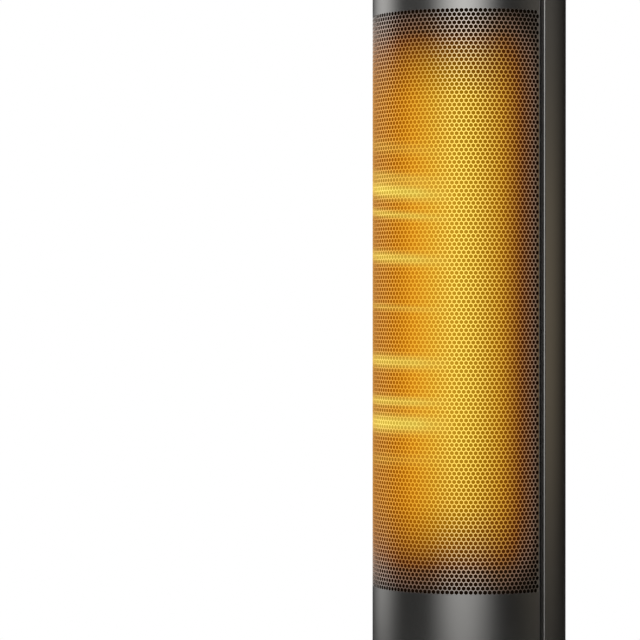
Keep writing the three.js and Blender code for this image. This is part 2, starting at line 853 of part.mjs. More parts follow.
function blowerWheel() {
  const inner = wheelRadius - bladeDepth;
  const length = wheelTop - wheelBottom;
  const spot = (radius, angle) => new THREE.Vector2(
    radius * Math.cos(radians(angle)), radius * Math.sin(radians(angle)));
  const blade = extruded(band([
    spot(inner, 0), spot(inner + bladeDepth / 2, bladeLean / 4), spot(wheelRadius, bladeLean),
  ], bladeThickness), wheelBottom, length);
  const blades = Array.from({ length: bladeCount }, (unused, index) =>
    blade.rotate([0, 0, 360 * index / bladeCount]));
  const endDiscs = [wheelBottom, wheelTop - wheelDiscThickness].map((level) =>
    disc(wheelRadius, level, wheelDiscThickness, 0, 0, 2 * bladeCount));
  const hubs = [wheelBottom, wheelTop - hubHeight].map((level) =>
    disc(hubRadius, level, hubHeight, 0, 0, holeFacets));
  const pitch = (length - wheelDiscThickness) / (wheelRings + 1);
  const rings = Array.from({ length: wheelRings }, (unused, index) => ring(
    inner, wheelRadius, wheelBottom + pitch * (index + 1), wheelDiscThickness, 0, 0, 2 * bladeCount));
  const bore = disc(shaftRadius + gap, wheelBottom - overrun, length + 2 * overrun, 0, 0, holeFacets);
  return joined([...endDiscs, ...hubs, ...rings, ...blades]).subtract(bore)
    .translate([0, wheelOffset, 0]);
}

function blowerMotor() {
  const point = (radius, level) => new THREE.Vector2(radius, level);
  const bottom = motorTop - motorHeight;
  const step = wheelDiscThickness;
  const bell = motorHeight / 4;
  const boreBottom = motorTop - motorHeight / 2;
  return revolved([
    point(0, bottom),
    point(hubRadius, bottom),
    point(hubRadius, bottom + step),
    point(motorRadius - 2 * step, bottom + step),
    point(motorRadius - step, bottom + bell),
    point(motorRadius, bottom + bell),
    point(motorRadius, motorTop - bell),
    point(motorRadius - step, motorTop - bell),
    point(motorRadius - 2 * step, motorTop),
    point(shaftRadius + gap, motorTop),
    point(shaftRadius + gap, boreBottom),
    point(0, boreBottom),
  ], roundFacets).translate([0, wheelOffset, 0]);
}

function blowerShaft() {
  const bottom = motorTop - motorHeight / 2 + gap;
  return disc(shaftRadius, bottom, bearingTop - bottom, 0, wheelOffset, holeFacets);
}

function topBearing() {
  const bottom = upperDeck + deckThickness + gap;
  return ring(shaftRadius + gap, hubRadius, bottom, hubRadius, 0, wheelOffset);
}

// Air guides: a spiral wall on one side of the wheel and a short tongue on the other
const frameLine = -(frameRear - 2 * gap);
const guideRadius = wheelRadius + airGap + wall / 2;

function aroundWheel(radius, angle) {
  return new THREE.Vector2(
    radius * Math.cos(radians(angle)), wheelOffset + radius * Math.sin(radians(angle)));
}

function voluteGuide() {
  const steps = 14;
  const spiral = Array.from({ length: steps + 1 }, (unused, step) => aroundWheel(
    guideRadius + voluteGrowth * step / steps,
    voluteStart + (voluteEnd - voluteStart) * step / steps));
  const edge = new THREE.Vector2(-(frameWidth - wall) / 2, frameLine);
  return extruded(band([...spiral, edge], wall), bayBottom, bayTop - bayBottom);
}

function airTongue() {
  const curve = airTongueAngles.map((angle) => aroundWheel(guideRadius, angle));
  const edge = new THREE.Vector2((frameWidth - wall) / 2, frameLine);
  return extruded(band([...curve, edge], wall), bayBottom, bayTop - bayBottom);
}

// Heating element: ceramic bars with folded fins between them, in a frame with crossbars
const coreWidth = frameWidth - 2 * frameBar - 2 * gap;
const coreDepth = frameDepth - crossbarDepth - gap;
const coreBottom = bayBottom + frameEndBar + gap;
const coreHeight = bayTop - frameEndBar - gap - coreBottom;

function heaterFrame() {
  const height = bayTop - bayBottom;
  const centre = -frameRear - frameDepth / 2;
  const opening = coreHeight + 2 * gap;
  const outer = block(frameWidth, frameDepth, height, 0, centre, bayBottom);
  const mouth = block(frameWidth - 2 * frameBar, frameDepth + 2 * overrun, opening,
    0, centre, coreBottom - gap);
  const bars = Array.from({ length: crossbars }, (unused, index) => block(
    frameWidth - frameBar, crossbarDepth, crossbarHeight, 0,
    -frameRear - frameDepth + crossbarDepth / 2,
    coreBottom + coreHeight * (index + 1) / (crossbars + 1) - crossbarHeight / 2));
  return joined([outer.subtract(mouth), ...bars]);
}

function heaterCore() {
  const centre = -frameRear - coreDepth / 2;
  const spacing = (coreWidth - coreBarWidth) / (coreBars - 1);
  const left = -(coreWidth - coreBarWidth) / 2;
  const bars = Array.from({ length: coreBars }, (unused, index) => block(
    coreBarWidth, coreDepth, coreHeight, left + spacing * index, centre, coreBottom));
  const folds = 2 * Math.floor((coreHeight - 2 * finThickness) / finPitch);
  const rise = (coreHeight - 2 * finPitch) / folds;
  const reach = spacing - coreBarWidth;
  const slant = finThickness * Math.hypot(reach, rise) / rise;
  const fins = Array.from({ length: coreBars - 1 }, (unused, index) => {
    const near = left + spacing * index + coreBarWidth / 2;
    const zigzag = Array.from({ length: folds + 1 }, (also, fold) => new THREE.Vector2(
      near + (fold % 2) * reach, coreBottom + finPitch + rise * fold));
    return extruded(band(zigzag, slant), 0, coreDepth - 2 * gap).rotate([90, 0, 0])
      .translate([0, centre + coreDepth / 2 - gap, 0]);
  });
  return joined([...bars, ...fins]);
}

function thermalCutoff() {
  const bottom = upperDeck + deckThickness + gap;
  const can = disc(hubRadius, bottom, hubRadius / 2, frameWidth / 4, -frameRear);
  const cap = disc(hubRadius / 2, bottom, hubRadius, frameWidth / 4, -frameRear, holeFacets);
  return can.add(cap);
}

place('lower_deck', deck(lowerDeck), whitePlastic);
place('upper_deck', deck(upperDeck), whitePlastic);
place('blower_motor', blowerMotor(), steel);
place('blower_wheel', blowerWheel(), darkPlastic);
place('blower_shaft', blowerShaft(), steel);
place('top_bearing', topBearing(), rubber);
place('volute_guide', voluteGuide(), darkPlastic);
place('air_tongue', airTongue(), darkPlastic);
place('heater_frame', heaterFrame(), amberFrame);
place('heater_core', heaterCore(), aluminium);
place('thermal_cutoff', thermalCutoff(), steel);

// Electrics in the foot of the tower
const boardFront = -powerBoardOffset - boardThickness;
const boardRear = -powerBoardOffset;

function powerBoard() {
  const sheet = block(powerBoardWidth, boardThickness, powerBoardHeight,
    0, -powerBoardOffset - boardThickness / 2, towerBottom);
  const onBoard = ([width, depth, height], x, level) => block(width, depth + boardThickness / 2,
    height, x, boardFront + boardThickness / 4 - depth / 2, towerBottom + level);
  const sized = (shares) => shares.map((share) => share * relaySize);
  const relay = sized([1, 1, 1]);
  const column = powerBoardWidth / 4;
  const row = powerBoardHeight / 4;
  const parts = [
    onBoard(relay, -column, row / 2),
    onBoard(relay, 0, row / 2),
    onBoard(sized(transformerShares), column, 2 * row),
    onBoard(sized(capacitorShares), -column, 2 * row),
  ];
  return joined([sheet, ...parts]);
}

function heatSink() {
  const width = powerBoardWidth / 2;
  const back = boardRear + gap;
  const left = -powerBoardWidth / 6;
  const pitch = (width - wall) / (sinkFins - 1);
  const height = powerBoardHeight / 2;
  const plate = block(width, wall, height, left + width / 2, back + wall / 2, towerBottom);
  const fins = Array.from({ length: sinkFins }, (unused, index) => block(
    wall / 2, sinkFinDepth, height, left + wall / 2 + pitch * index,
    back + wall / 2 + sinkFinDepth / 2, towerBottom));
  return joined([plate, ...fins]);
}

function swayMotor() {
  const centre = pinionCentre + swayShaftOffset;
  const body = disc(swayMotorRadius, towerBottom, swayMotorHeight, 0, centre);
  const ears = block(3 * swayMotorRadius, swayMotorRadius / 2, boardThickness, 0, centre, towerBottom);
  const bore = disc(swayShaftRadius + gap, towerBottom - overrun,
    swayMotorHeight / 2 + overrun + 2 * gap, 0, pinionCentre, holeFacets);
  return body.add(ears).subtract(bore);
}

place('power_board', powerBoard(), boardGreen);
place('heat_sink', heatSink(), aluminium);
place('sway_motor', swayMotor(), steel);

// Top cap and control panel
const panelThickness = panelRecess - gap;
const panelBottom = capTop - panelThickness;
const ledgeTop = capTop - panelRecess;
const boardTop = panelBottom - boardDrop;
const switchDomeHeight = boardDrop / 4;
const stemBottom = boardTop + switchDomeHeight + gap + buttonTravel;

function topCap() {
  const point = (radius, level) => new THREE.Vector2(radius, level);
  const steps = 3;
  const round = Array.from({ length: steps + 1 }, (unused, step) => {
    const turn = Math.PI / 2 * step / steps;
    return point(bodyRadius - capEdgeRadius + capEdgeRadius * Math.cos(turn),
      capTop - capEdgeRadius + capEdgeRadius * Math.sin(turn));
  });
  const opening = panelRadius - ledgeWidth;
  const rim = tongueInner - gap;
  const rimBottom = capBottom - spigotHeight;
  return revolved([
    point(bodyRadius, capBottom),
    ...round,
    point(panelRadius, capTop),
    point(panelRadius, ledgeTop),
    point(opening, ledgeTop),
    point(opening, ledgeTop - wall),
    point(housingInner - capEdgeRadius / 2, ledgeTop - wall),
    point(housingInner, capTop - capEdgeRadius),
    point(housingInner, capBottom + wall),
    point(rim - wall, capBottom + wall),
    point(rim - wall, rimBottom),
    point(rim, rimBottom),
    point(rim, capBottom),
  ], bodyFacets);
}

function buttonPlaces() {
  const rows = [0, 1];
  const columns = [-1, 0, 1];
  return rows.flatMap((row) => columns.map((column) => new THREE.Vector2(
    column * buttonSpacing, -(buttonRowStart + row * buttonRowSpacing))));
}

function lensOutline(clearance) {
  return roundedRectangle(lensWidth + 2 * clearance, lensDepth + 2 * clearance,
    buttonProud + clearance, 0, lensCentre);
}

function controlPanel() {
  const plate = disc(panelRadius - gap, panelBottom, panelThickness, 0, 0, bodyFacets);
  const window = extruded(lensOutline(gap), panelBottom - overrun, panelThickness + 2 * overrun, 3);
  const holes = buttonPlaces().map((at) => disc(
    buttonRadius + gap, panelBottom - overrun, panelThickness + 2 * overrun, at.x, at.y, holeFacets));
  const x = boardWidth / 2 - postRadius;
  const y = boardDepth / 2 - postRadius;
  const posts = [[-x, -y], [x, -y], [x, y], [-x, y]].map(([left, front]) => disc(
    postRadius, boardTop + gap, boardDrop - gap + panelThickness / 2, left, front, smallFacets));
  return without(joined([plate, ...posts]), [window, ...holes]);
}

function controlBoard() {
  const sheet = block(boardWidth, boardDepth, boardThickness, 0, 0, boardTop - boardThickness);
  const domes = buttonPlaces().map((at) => disc(buttonRadius / 2,
    boardTop - boardThickness / 2, switchDomeHeight + boardThickness / 2, at.x, at.y, smallFacets));
  return joined([sheet, ...domes]);
}

function button() {
  const point = (radius, level) => new THREE.Vector2(radius, level);
  const flangeTop = panelBottom - gap;
  const flange = buttonRadius + 2 * gap + buttonFlange / 2;
  return revolved([
    point(0, stemBottom),
    point(buttonRadius / 3, stemBottom),
    point(buttonRadius / 3, flangeTop - buttonFlange),
    point(flange, flangeTop - buttonFlange),
    point(flange, flangeTop),
    point(buttonRadius, flangeTop),
    point(buttonRadius, overallHeight - buttonProud / 2),
    point(buttonRadius - buttonProud / 2, overallHeight),
    point(0, overallHeight),
  ], holeFacets);
}

place('top_cap', topCap(), metallicGrey);
place('control_panel', controlPanel(), glossBlack);
place('display_lens', extruded(lensOutline(0), panelBottom, panelThickness, 3), smokedLens);
place('control_board', controlBoard(), boardGreen);
const moduleHeight = boardDrop - 2 * gap;
place('display_module', block(lensWidth - wall, lensDepth - wall, moduleHeight, 0, lensCentre,
  boardTop + gap), whitePlastic);
place('infrared_receiver', block(buttonRadius, buttonRadius, moduleHeight,
  boardWidth / 2 - buttonRadius / 2, buttonRowStart, boardTop + gap), glossBlack);
const buttonNames = ['mode', 'power', 'sway', 'cooler', 'timer', 'warmer'];
buttonPlaces().forEach((at, index) => {
  place(`${buttonNames[index]}_button`, button().translate([at.x, at.y, 0]), darkPlastic);
});

// Wires inside the tower, each from one end to the other
const lead = polar(leadRadius, leadAngle);
const boardFace = boardRear + 3 * gap;
const boardHead = towerBottom + powerBoardHeight;
const bend = 4 * wireRadius;
const at = (x, y, z) => new THREE.Vector3(x, y, z);
const frameFront = -frameRear - frameDepth - 3 * gap;

function panelLead() {
  const left = -powerBoardWidth / 2 + 2 * bend;
  const low = lowerDeck - bend;
  const high = upperDeck + deckThickness + 2 * bend;
  const inboard = lead.x / 2;
  const levels = Array.from({ length: 5 }, (unused, step) => low + (high - low) * step / 4);
  return wire([
    at(left, boardFace, boardHead - 3 * bend),
    at(left, boardFace + bend, boardHead - 2.5 * bend),
    at((left + lead.x) / 2, (boardFace + lead.y) / 2, (boardHead + low) / 2 - bend),
    ...levels.map((level) => at(lead.x, lead.y, level)),
    at(leadTurnShare * lead.x, lead.y, (high + boardTop) / 2),
    at(inboard, lead.y / 4, boardTop - boardThickness - bend),
    at(inboard, 0, boardTop - boardThickness - 2 * gap),
  ], wireRadius);
}

function heaterLead() {
  const top = coreBottom - bend;
  return wire([
    at(0, boardFront - 3 * gap, boardHead - 2 * bend),
    at(0, boardFront - bend, boardHead - 1.8 * bend),
    at(heaterLeadX / 2, (heaterLeadY + boardFront) / 2 - bend, boardHead - bend / 2),
    at(heaterLeadX, heaterLeadY, lowerDeck - bend),
    at(heaterLeadX, heaterLeadY, lowerDeck + deckThickness + bend / 2),
    at(heaterLeadX, frameFront - bend, top - bend / 3),
    at(heaterLeadX, frameFront, top),
  ], wireRadius);
}

function motorLead() {
  const x = powerBoardWidth / 3;
  const level = motorTop - motorHeight / 2;
  const reach = new THREE.Vector2(x, boardFace - wheelOffset);
  const end = reach.clone().setLength(motorRadius + 2 * gap);
  return wire([
    at(x, boardFace + gap, level - bend),
    at(x - gap, boardFace + bend / 2, level - bend / 2),
    at((x + end.x) / 2, (boardFace + end.y + wheelOffset) / 2, level - gap),
    at(end.x, end.y + wheelOffset, level),
  ], wireRadius);
}

function mainsLead() {
  const start = housingInner - glandLength / 2 - gap;
  const left = -powerBoardWidth / 3;
  const span = start - boardFace;
  const dip = glandHeight - cordRadius;
  return wire([
    at(0, start, glandHeight),
    at(0, start - span / 8, glandHeight),
    at(left / 3, start - 3 * span / 8, glandHeight),
    at(leadTurnShare * left, start - 6 * span / 8, dip),
    at(left, start - 7 * span / 8, dip),
    at(left, boardFace, dip),
  ], cordRadius - gap);
}

place('panel_lead', panelLead(), wireRed);
place('heater_lead', heaterLead(), wireRed);
place('motor_lead', motorLead(), wireRed);
place('mains_lead', mainsLead(), wireRed);

export default heater;
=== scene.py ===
import json
from math import asin, atan, cos, degrees, exp, pi, radians, sin, tan

import bmesh
import bpy
import numpy as np
from mathutils import Euler, Matrix, Vector


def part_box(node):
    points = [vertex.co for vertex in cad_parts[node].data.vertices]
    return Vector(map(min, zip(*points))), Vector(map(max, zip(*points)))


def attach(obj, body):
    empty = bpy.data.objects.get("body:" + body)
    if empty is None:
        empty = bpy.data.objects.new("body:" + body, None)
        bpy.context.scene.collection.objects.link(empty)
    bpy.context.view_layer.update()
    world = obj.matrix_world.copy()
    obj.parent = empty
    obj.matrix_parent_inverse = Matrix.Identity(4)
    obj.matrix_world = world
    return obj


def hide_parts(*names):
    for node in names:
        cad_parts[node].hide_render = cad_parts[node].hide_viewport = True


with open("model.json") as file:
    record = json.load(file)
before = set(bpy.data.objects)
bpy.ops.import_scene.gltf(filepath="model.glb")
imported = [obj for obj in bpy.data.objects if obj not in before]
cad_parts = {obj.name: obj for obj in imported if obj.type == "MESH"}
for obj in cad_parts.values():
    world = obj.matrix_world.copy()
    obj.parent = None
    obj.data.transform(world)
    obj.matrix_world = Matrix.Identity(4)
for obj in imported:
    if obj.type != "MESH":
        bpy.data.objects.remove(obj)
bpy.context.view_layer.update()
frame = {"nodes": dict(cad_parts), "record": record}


def box_middle(node):
    low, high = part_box(node)
    return [(a + b) / 2 for a, b in zip(low, high)]


# Sizes read from the frame
cover_low, cover_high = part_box("front_cover")
body_radius = -cover_low.y
field_rise = 0.02445     # the middle of the perforated field lies this far above the cover's
mesh_middle = box_middle("front_cover")[2] + field_rise

# The photograph's camera
image_size = 640
camera_azimuth = radians(25)
camera_distance = 2.017
camera_height = 0.327
field_of_view = radians(12.2)
axis_column = 469        # pixels from the left, where the tower's axis shows
horizon_row = 300        # pixels from the top


def polar(radius, angle, z=0.0):
    """A point at an angle from the front, which is -Y, positive towards +X."""
    return Vector((radius * sin(angle), -radius * cos(angle), z))


def add_node(tree, kind, inputs=None, **settings):
    """A shader node with its settings. An input is a plain value or another node's output."""
    made = tree.nodes.new("ShaderNode" + kind)
    for name, value in settings.items():
        setattr(made, name, value)
    for label, value in (inputs or {}).items():
        if isinstance(value, bpy.types.NodeSocket):
            tree.links.new(value, made.inputs[label])
        else:
            made.inputs[label].default_value = value
    return made


def show(tree, shader):
    """Gives a material its surface."""
    tree.links.new(shader.outputs[0], tree.nodes["Material Output"].inputs["Surface"])


# Camera, light and floor

def make_camera():
    data = bpy.data.cameras.new("camera")
    data.sensor_width = 36
    data.lens = data.sensor_width / 2 / tan(field_of_view / 2)
    camera = bpy.data.objects.new("camera", data)
    camera.location = polar(camera_distance, camera_azimuth, camera_height)
    pixels_away = image_size / 2 / tan(field_of_view / 2)
    yaw = atan((axis_column - image_size / 2) / pixels_away)
    pitch = atan((image_size / 2 - horizon_row) / pixels_away)
    camera.rotation_euler = Euler((pi / 2 - pitch, 0, camera_azimuth + yaw))
    bpy.context.scene.collection.objects.link(camera)
    bpy.context.scene.camera = camera


def soft_box(name, azimuth, distance, height, width, length, radiance):
    """An upright area lamp that faces the tower. Azimuth is from the camera's side, in degrees."""
    data = bpy.data.lights.new(name, "AREA")
    data.shape = "RECTANGLE"
    data.size, data.size_y = width, length
    data.energy = radiance * width * length * pi
    lamp = bpy.data.objects.new(name, data)
    lamp.location = polar(distance, camera_azimuth + radians(azimuth), height)
    aim = Vector((0, 0, camera_height)) - lamp.location
    lamp.rotation_euler = aim.to_track_quat("-Z", "Y").to_euler()
    bpy.context.scene.collection.objects.link(lamp)


white = (1, 1, 1, 1)
amber = (1, 0.74, 0.36)


def light_card(name, azimuth, spread, radiance, warmth=0.0):
    """A curved glowing card, brightest at an azimuth from the camera's side and fading over a
    spread in degrees. Its foot is dimmer, and warmth adds an amber glow at mid height."""
    radius, steps = 0.95, 32
    reach = 1.45                         # half the card's width, in spreads
    levels, low, high = 12, 0.0, 1.1
    foot_share, gain = 0.62, 0.66        # the light at the floor, and how it grows per metre
    warm_reach = 0.22                    # half the height of the amber glow
    corners, colors = [], []
    for step in range(steps + 1):
        out = (2 * step / steps - 1) * reach
        across = radiance * cos(pi / 2 * out / reach) ** 2
        for level in range(levels + 1):
            z = low + (high - low) * level / levels
            light = across * min(1, foot_share + gain * z)
            warm = across * warmth * exp(-((z - mesh_middle) / warm_reach) ** 4)
            corners.append(polar(radius, camera_azimuth + radians(azimuth + out * spread), z))
            colors += [light + share * warm for share in amber] + [1]
    row = levels + 1
    quads = [(i, i + 1, i + row + 1, i + row) for i in range(steps * row) if (i + 1) % row]
    card, tree = flat_stage(name, corners, quads)
    card.visible_camera = card.visible_shadow = card.visible_transmission = False
    card.data.attributes.new("light", "FLOAT_COLOR", "POINT").data.foreach_set("color", colors)
    level = add_node(tree, "Attribute", attribute_name="light")
    show(tree, add_node(tree, "Emission", {"Color": level.outputs["Color"]}))


def make_lights():
    light_card("front_card", azimuth=-7, spread=32, radiance=1.95)
    light_card("left_card", azimuth=-121, spread=29, radiance=1.4)
    light_card("right_card", azimuth=97, spread=38, radiance=0.145, warmth=1.6)
    soft_box("top_soft_box", azimuth=-60, distance=1.4, height=1.9, width=1.2, length=1.2, radiance=0.6)
    soft_box("back_soft_box", azimuth=168, distance=1.5, height=1.9, width=1.2, length=1.0, radiance=1.4)


def white_rays(tree):
    """1 for the rays that show what is behind the object, 0 for the rays that light it."""
    rays = add_node(tree, "LightPath").outputs
    total = rays["Is Camera Ray"]
    for label in ("Is Glossy Ray", "Is Transmission Ray"):
        total = add_node(tree, "Math", {0: total, 1: rays[label]}, operation="MAXIMUM").outputs[0]
    return total


def make_world():
    """Pale grey light all round, and plain white behind the object."""
    fill_color, fill_strength = (0.95, 0.97, 1, 1), 0.45
    world = bpy.data.worlds.new("studio")
    bpy.context.scene.world = world
    world.use_nodes = True
    tree = world.node_tree
    tree.nodes.clear()
    fill = add_node(tree, "Background", {"Color": fill_color, "Strength": fill_strength})
    plain = add_node(tree, "Background", {"Color": white})
    mix = add_node(tree, "MixShader", {0: white_rays(tree), 1: fill.outputs[0], 2: plain.outputs[0]})
    add_node(tree, "OutputWorld", {"Surface": mix.outputs[0]})


def flat_stage(name, corners, faces):
    """A piece of the studio, which is not part of the object."""
    mesh = new_mesh(name, corners, faces)
    piece = bpy.data.objects.new(name, mesh)
    bpy.context.scene.collection.objects.link(piece)
    material = bpy.data.materials.new(name + "_surface")
    material.use_nodes = True
    mesh.materials.append(material)
    return piece, material.node_tree


def make_floor():
    """A pale floor that keeps the shadow near the object and turns plain white further out."""
    half, paper_color, paper_roughness = 6.0, (0.86, 0.86, 0.86, 1), 0.9
    fade_start, fade_end = 0.25, 0.75    # from the tower's axis
    corners = [(-half, -half, 0), (half, -half, 0), (half, half, 0), (-half, half, 0)]
    tree = flat_stage("floor", corners, [(0, 1, 2, 3)])[1]
    paper = tree.nodes["Principled BSDF"]
    paper.inputs["Base Color"].default_value = paper_color
    paper.inputs["Roughness"].default_value = paper_roughness
    place = add_node(tree, "TexCoord").outputs["Object"]
    distance = add_node(tree, "VectorMath", {0: place}, operation="LENGTH")
    fade = add_node(tree, "MapRange", {"Value": distance.outputs["Value"], "From Min": fade_start,
                                       "From Max": fade_end})
    both = add_node(tree, "Math", {0: fade.outputs[0], 1: white_rays(tree)}, operation="MULTIPLY")
    plain = add_node(tree, "Emission", {"Color": white})
    show(tree, add_node(tree, "MixShader", {0: both.outputs[0], 1: paper.outputs[0],
                                            2: plain.outputs[0]}))


def make_dark_cards():
    """A studio's dark cloth all round and a dark mat on the floor, both darkest on the far side
    of the tower from the camera. Only reflections show them."""
    steps = 72
    cloth_radius, cloth_foot, cloth_top, cloth_shade = 3.2, -0.6, 2.6, 0.08
    mat_inner, mat_outer, mat_level, mat_shade = 0.30, 3.2, 0.002, 0.02
    dark_until, pale_from = -0.95, -0.6  # towards the camera, in cloth radii
    around = [camera_azimuth + 2 * pi * i / steps for i in range(steps)]
    cloth = [polar(cloth_radius, angle, z) for z in (cloth_foot, cloth_top) for angle in around]
    mat = [polar(radius, angle, mat_level) for radius in (mat_inner, mat_outer) for angle in around]
    quads = [(i, (i + 1) % steps, steps + (i + 1) % steps, steps + i) for i in range(steps)]
    for name, corners, shade in (("dark_cloth", cloth, cloth_shade), ("dark_mat", mat, mat_shade)):
        card, tree = flat_stage(name, corners, quads)
        card.visible_camera = card.visible_diffuse = card.visible_shadow = False
        card.visible_transmission = card.visible_volume_scatter = False
        place = add_node(tree, "TexCoord").outputs["Object"]
        forward = polar(1 / cloth_radius, camera_azimuth)
        along = add_node(tree, "VectorMath", {0: place, 1: forward}, operation="DOT_PRODUCT")
        fade = add_node(tree, "MapRange", {"Value": along.outputs["Value"], "From Min": dark_until,
                                           "From Max": pale_from, "To Max": shade},
                        interpolation_type="SMOOTHSTEP")
        show(tree, add_node(tree, "Emission", {"Color": white, "Strength": fade.outputs[0]}))


# Procedural finishes

class Finish:
    """A Principled material and the nodes that drive it, all in the object's own coordinates."""

    def __init__(self, name, color, roughness, metallic=0.0, coat=0.0):
        self.material = bpy.data.materials.new(name)
        self.material.use_nodes = True
        self.tree = self.material.node_tree
        self.shader = self.tree.nodes["Principled BSDF"]
        self.color, self.roughness = color, roughness
        self.shader.inputs["Metallic"].default_value = metallic
        self.shader.inputs["Roughness"].default_value = roughness
        self.shader.inputs["Base Color"].default_value = (*color, 1)
        self.shader.inputs["Coat Weight"].default_value = coat
        self.place = self.node("TexCoord").outputs["Object"]

    def node(self, kind, inputs=None, **settings):
        return add_node(self.tree, kind, inputs, **settings)

    def feed(self, label, output):
        """Links a node's output to a socket of the shader."""
        self.tree.links.new(output, self.shader.inputs[label])

    def math(self, operation, *values):
        return self.node("Math", dict(enumerate(values)), operation=operation).outputs[0]

    def noise(self, scale, detail=3.0, stretch=(1, 1, 1)):
        spread = self.node("Mapping", {"Vector": self.place, "Scale": stretch})
        made = self.node("TexNoise", {"Vector": spread.outputs[0], "Scale": scale, "Detail": detail})
        return made.outputs["Fac"]

    def ranged(self, value, low, high, start=0.0, end=1.0):
        """A value between start and end, brought between low and high."""
        limits = {"From Min": start, "From Max": end, "To Min": low, "To Max": high}
        return self.node("MapRange", {"Value": value, **limits}).outputs[0]

    def tones(self, value, *stops, blend="EASE"):
        """A colour ramp through (position, colour) stops."""
        ramp = self.node("ValToRGB", {"Fac": value})
        ramp.color_ramp.interpolation = blend
        elements = ramp.color_ramp.elements
        while len(elements) < len(stops):
            elements.new(1)
        for element, (position, color) in zip(elements, stops):
            element.position = position
            element.color = (*color, 1)
        return ramp.outputs["Color"]

    def vary(self, amount, scale, stretch=(1, 1, 1), gloss=0.06):
        """Lets colour and roughness drift a little over the surface."""
        calm, strong = 0.3, 0.7          # most of the noise lies between these
        drift = self.noise(scale, stretch=stretch)
        low = [channel * (1 - amount) for channel in self.color]
        high = [min(1, channel * (1 + amount)) for channel in self.color]
        self.tone = self.tones(drift, (calm, low), (strong, high))
        self.feed("Base Color", self.tone)
        rough = self.ranged(drift, self.roughness + gloss, self.roughness - gloss, calm, strong)
        self.feed("Roughness", rough)
        return self

    def grain(self, scale, depth, strength=0.5, stretch=(1, 1, 1)):
        """A fine bump, depth in metres."""
        height = self.noise(scale, detail=2.0, stretch=stretch)
        bump = self.node("Bump", {"Strength": strength, "Distance": depth, "Height": height})
        self.feed("Normal", bump.outputs[0])
        return self

    def around(self):
        """Degrees round the tower from its front, positive towards +X."""
        parts = self.node("SeparateXYZ", {0: self.place}).outputs
        turn = self.math("ARCTAN2", parts["X"], self.math("MULTIPLY", parts["Y"], -1.0))
        return self.math("DEGREES", turn)

    def height(self):
        return self.node("SeparateXYZ", {0: self.place}).outputs["Z"]


# The heater's glow, painted as emission on the mesh's faces, its hole walls and the gauze behind
# them, as the photograph shows it: amber, strongest in front and at mid height, more yellow to the
# right of the middle and in soft level streaks of painted glints on the left.
# It stays on the cover: angles are in degrees round the tower from its front.

glow_half_height = 0.192
glow_half_angle = 72.0

# How strong the painted glow is, as (angle, level) and (share of half the height, level)
hole_by_angle = ((-72, 0.2), (-46, 0.35), (-30, 0.45), (-19, 0.66), (-10, 0.86), (-1, 0.92),
                 (14, 0.83), (28, 0.64), (42, 0.44), (50, 0.27), (58, 0.09), (67, 0.015), (72, 0))
web_by_angle = ((-72, 0.2), (-46, 0.57), (-30, 0.8), (-19, 0.9), (-10, 1), (20, 1), (35, 0.97),
                (43, 0.87), (50, 0.58), (58, 0.25), (66, 0.09), (69, 0.02), (72, 0))
hole_by_height = ((0, 1), (0.38, 1), (0.68, 0.79), (0.82, 0.38), (0.92, 0.04), (1, 0))
web_by_height = ((0, 1), (0.55, 1), (0.70, 0.94), (0.80, 0.7), (0.86, 0.47), (0.92, 0.2), (1, 0.0))

# How far painted amber light hides the metal's own colour, as (angle, share), and the lit colour painted
# instead
painted_light_by_angle = ((-72, 1), (30, 1), (43, 0.8), (58, 0.27), (68.3, 0.12), (69.1, 0.75), (72, 0.75))
lit_metal = (0.26, 0.2, 0.08)

# The painted glow's colours, as (level, colour), and where the yellow ones take over
black = (0, 0, 0)
hole_orange = ((0, black), (0.1, (0.07, 0.012, 0)), (0.5, (0.36, 0.097, 0)),
               (1, (0.7, 0.215, 0.001)))
hole_yellow = ((0, black), (0.1, (0.06, 0.015, 0)), (0.27, (0.175, 0.06, 0)),
               (0.5, (0.33, 0.155, 0.001)), (1, (0.66, 0.37, 0.02)))
web_orange = ((0, black), (0.08, (0.2, 0.11, 0.07)), (0.3, (0.39, 0.15, 0.025)),
              (1, (0.95, 0.40, 0.015)))
web_yellow = ((0, black), (0.08, (0.17, 0.115, 0.07)), (0.3, (0.36, 0.18, 0.035)),
              (1, (1.0, 0.72, 0.08)))
yellow_middle = 22.0
yellow_spread = 27.5
yellow_foot = (-0.19, -0.09)     # heights from the middle between which it grows
yellow_foot_share = 0.6

# Painted glints, as pale level streaks: height in front, half width and strength of each
streaks = ((0.4245, 0.004, 0.2), (0.4055, 0.0034, 0.4), (0.3964, 0.0048, 1.0),
           (0.3812, 0.0026, 0.7), (0.353, 0.0038, 0.8), (0.3207, 0.0022, 0.35),
           (0.2856, 0.0042, 0.8), (0.2598, 0.0032, 0.75), (0.2455, 0.0055, 1.0), (0.222, 0.004, 0.15))
streak_lean = 0.0006             # per degree, and per metre above level_streak
level_streak = 0.245
streak_end = (-8.0, 18.0)        # angles between which they fade out
streak_start = (-70.0, -40.0)    # angles between which they grow
streak_start_share = 0.3
web_glint = (0.98, 0.76, 0.14)
hole_glint = (0.64, 0.45, 0.055)


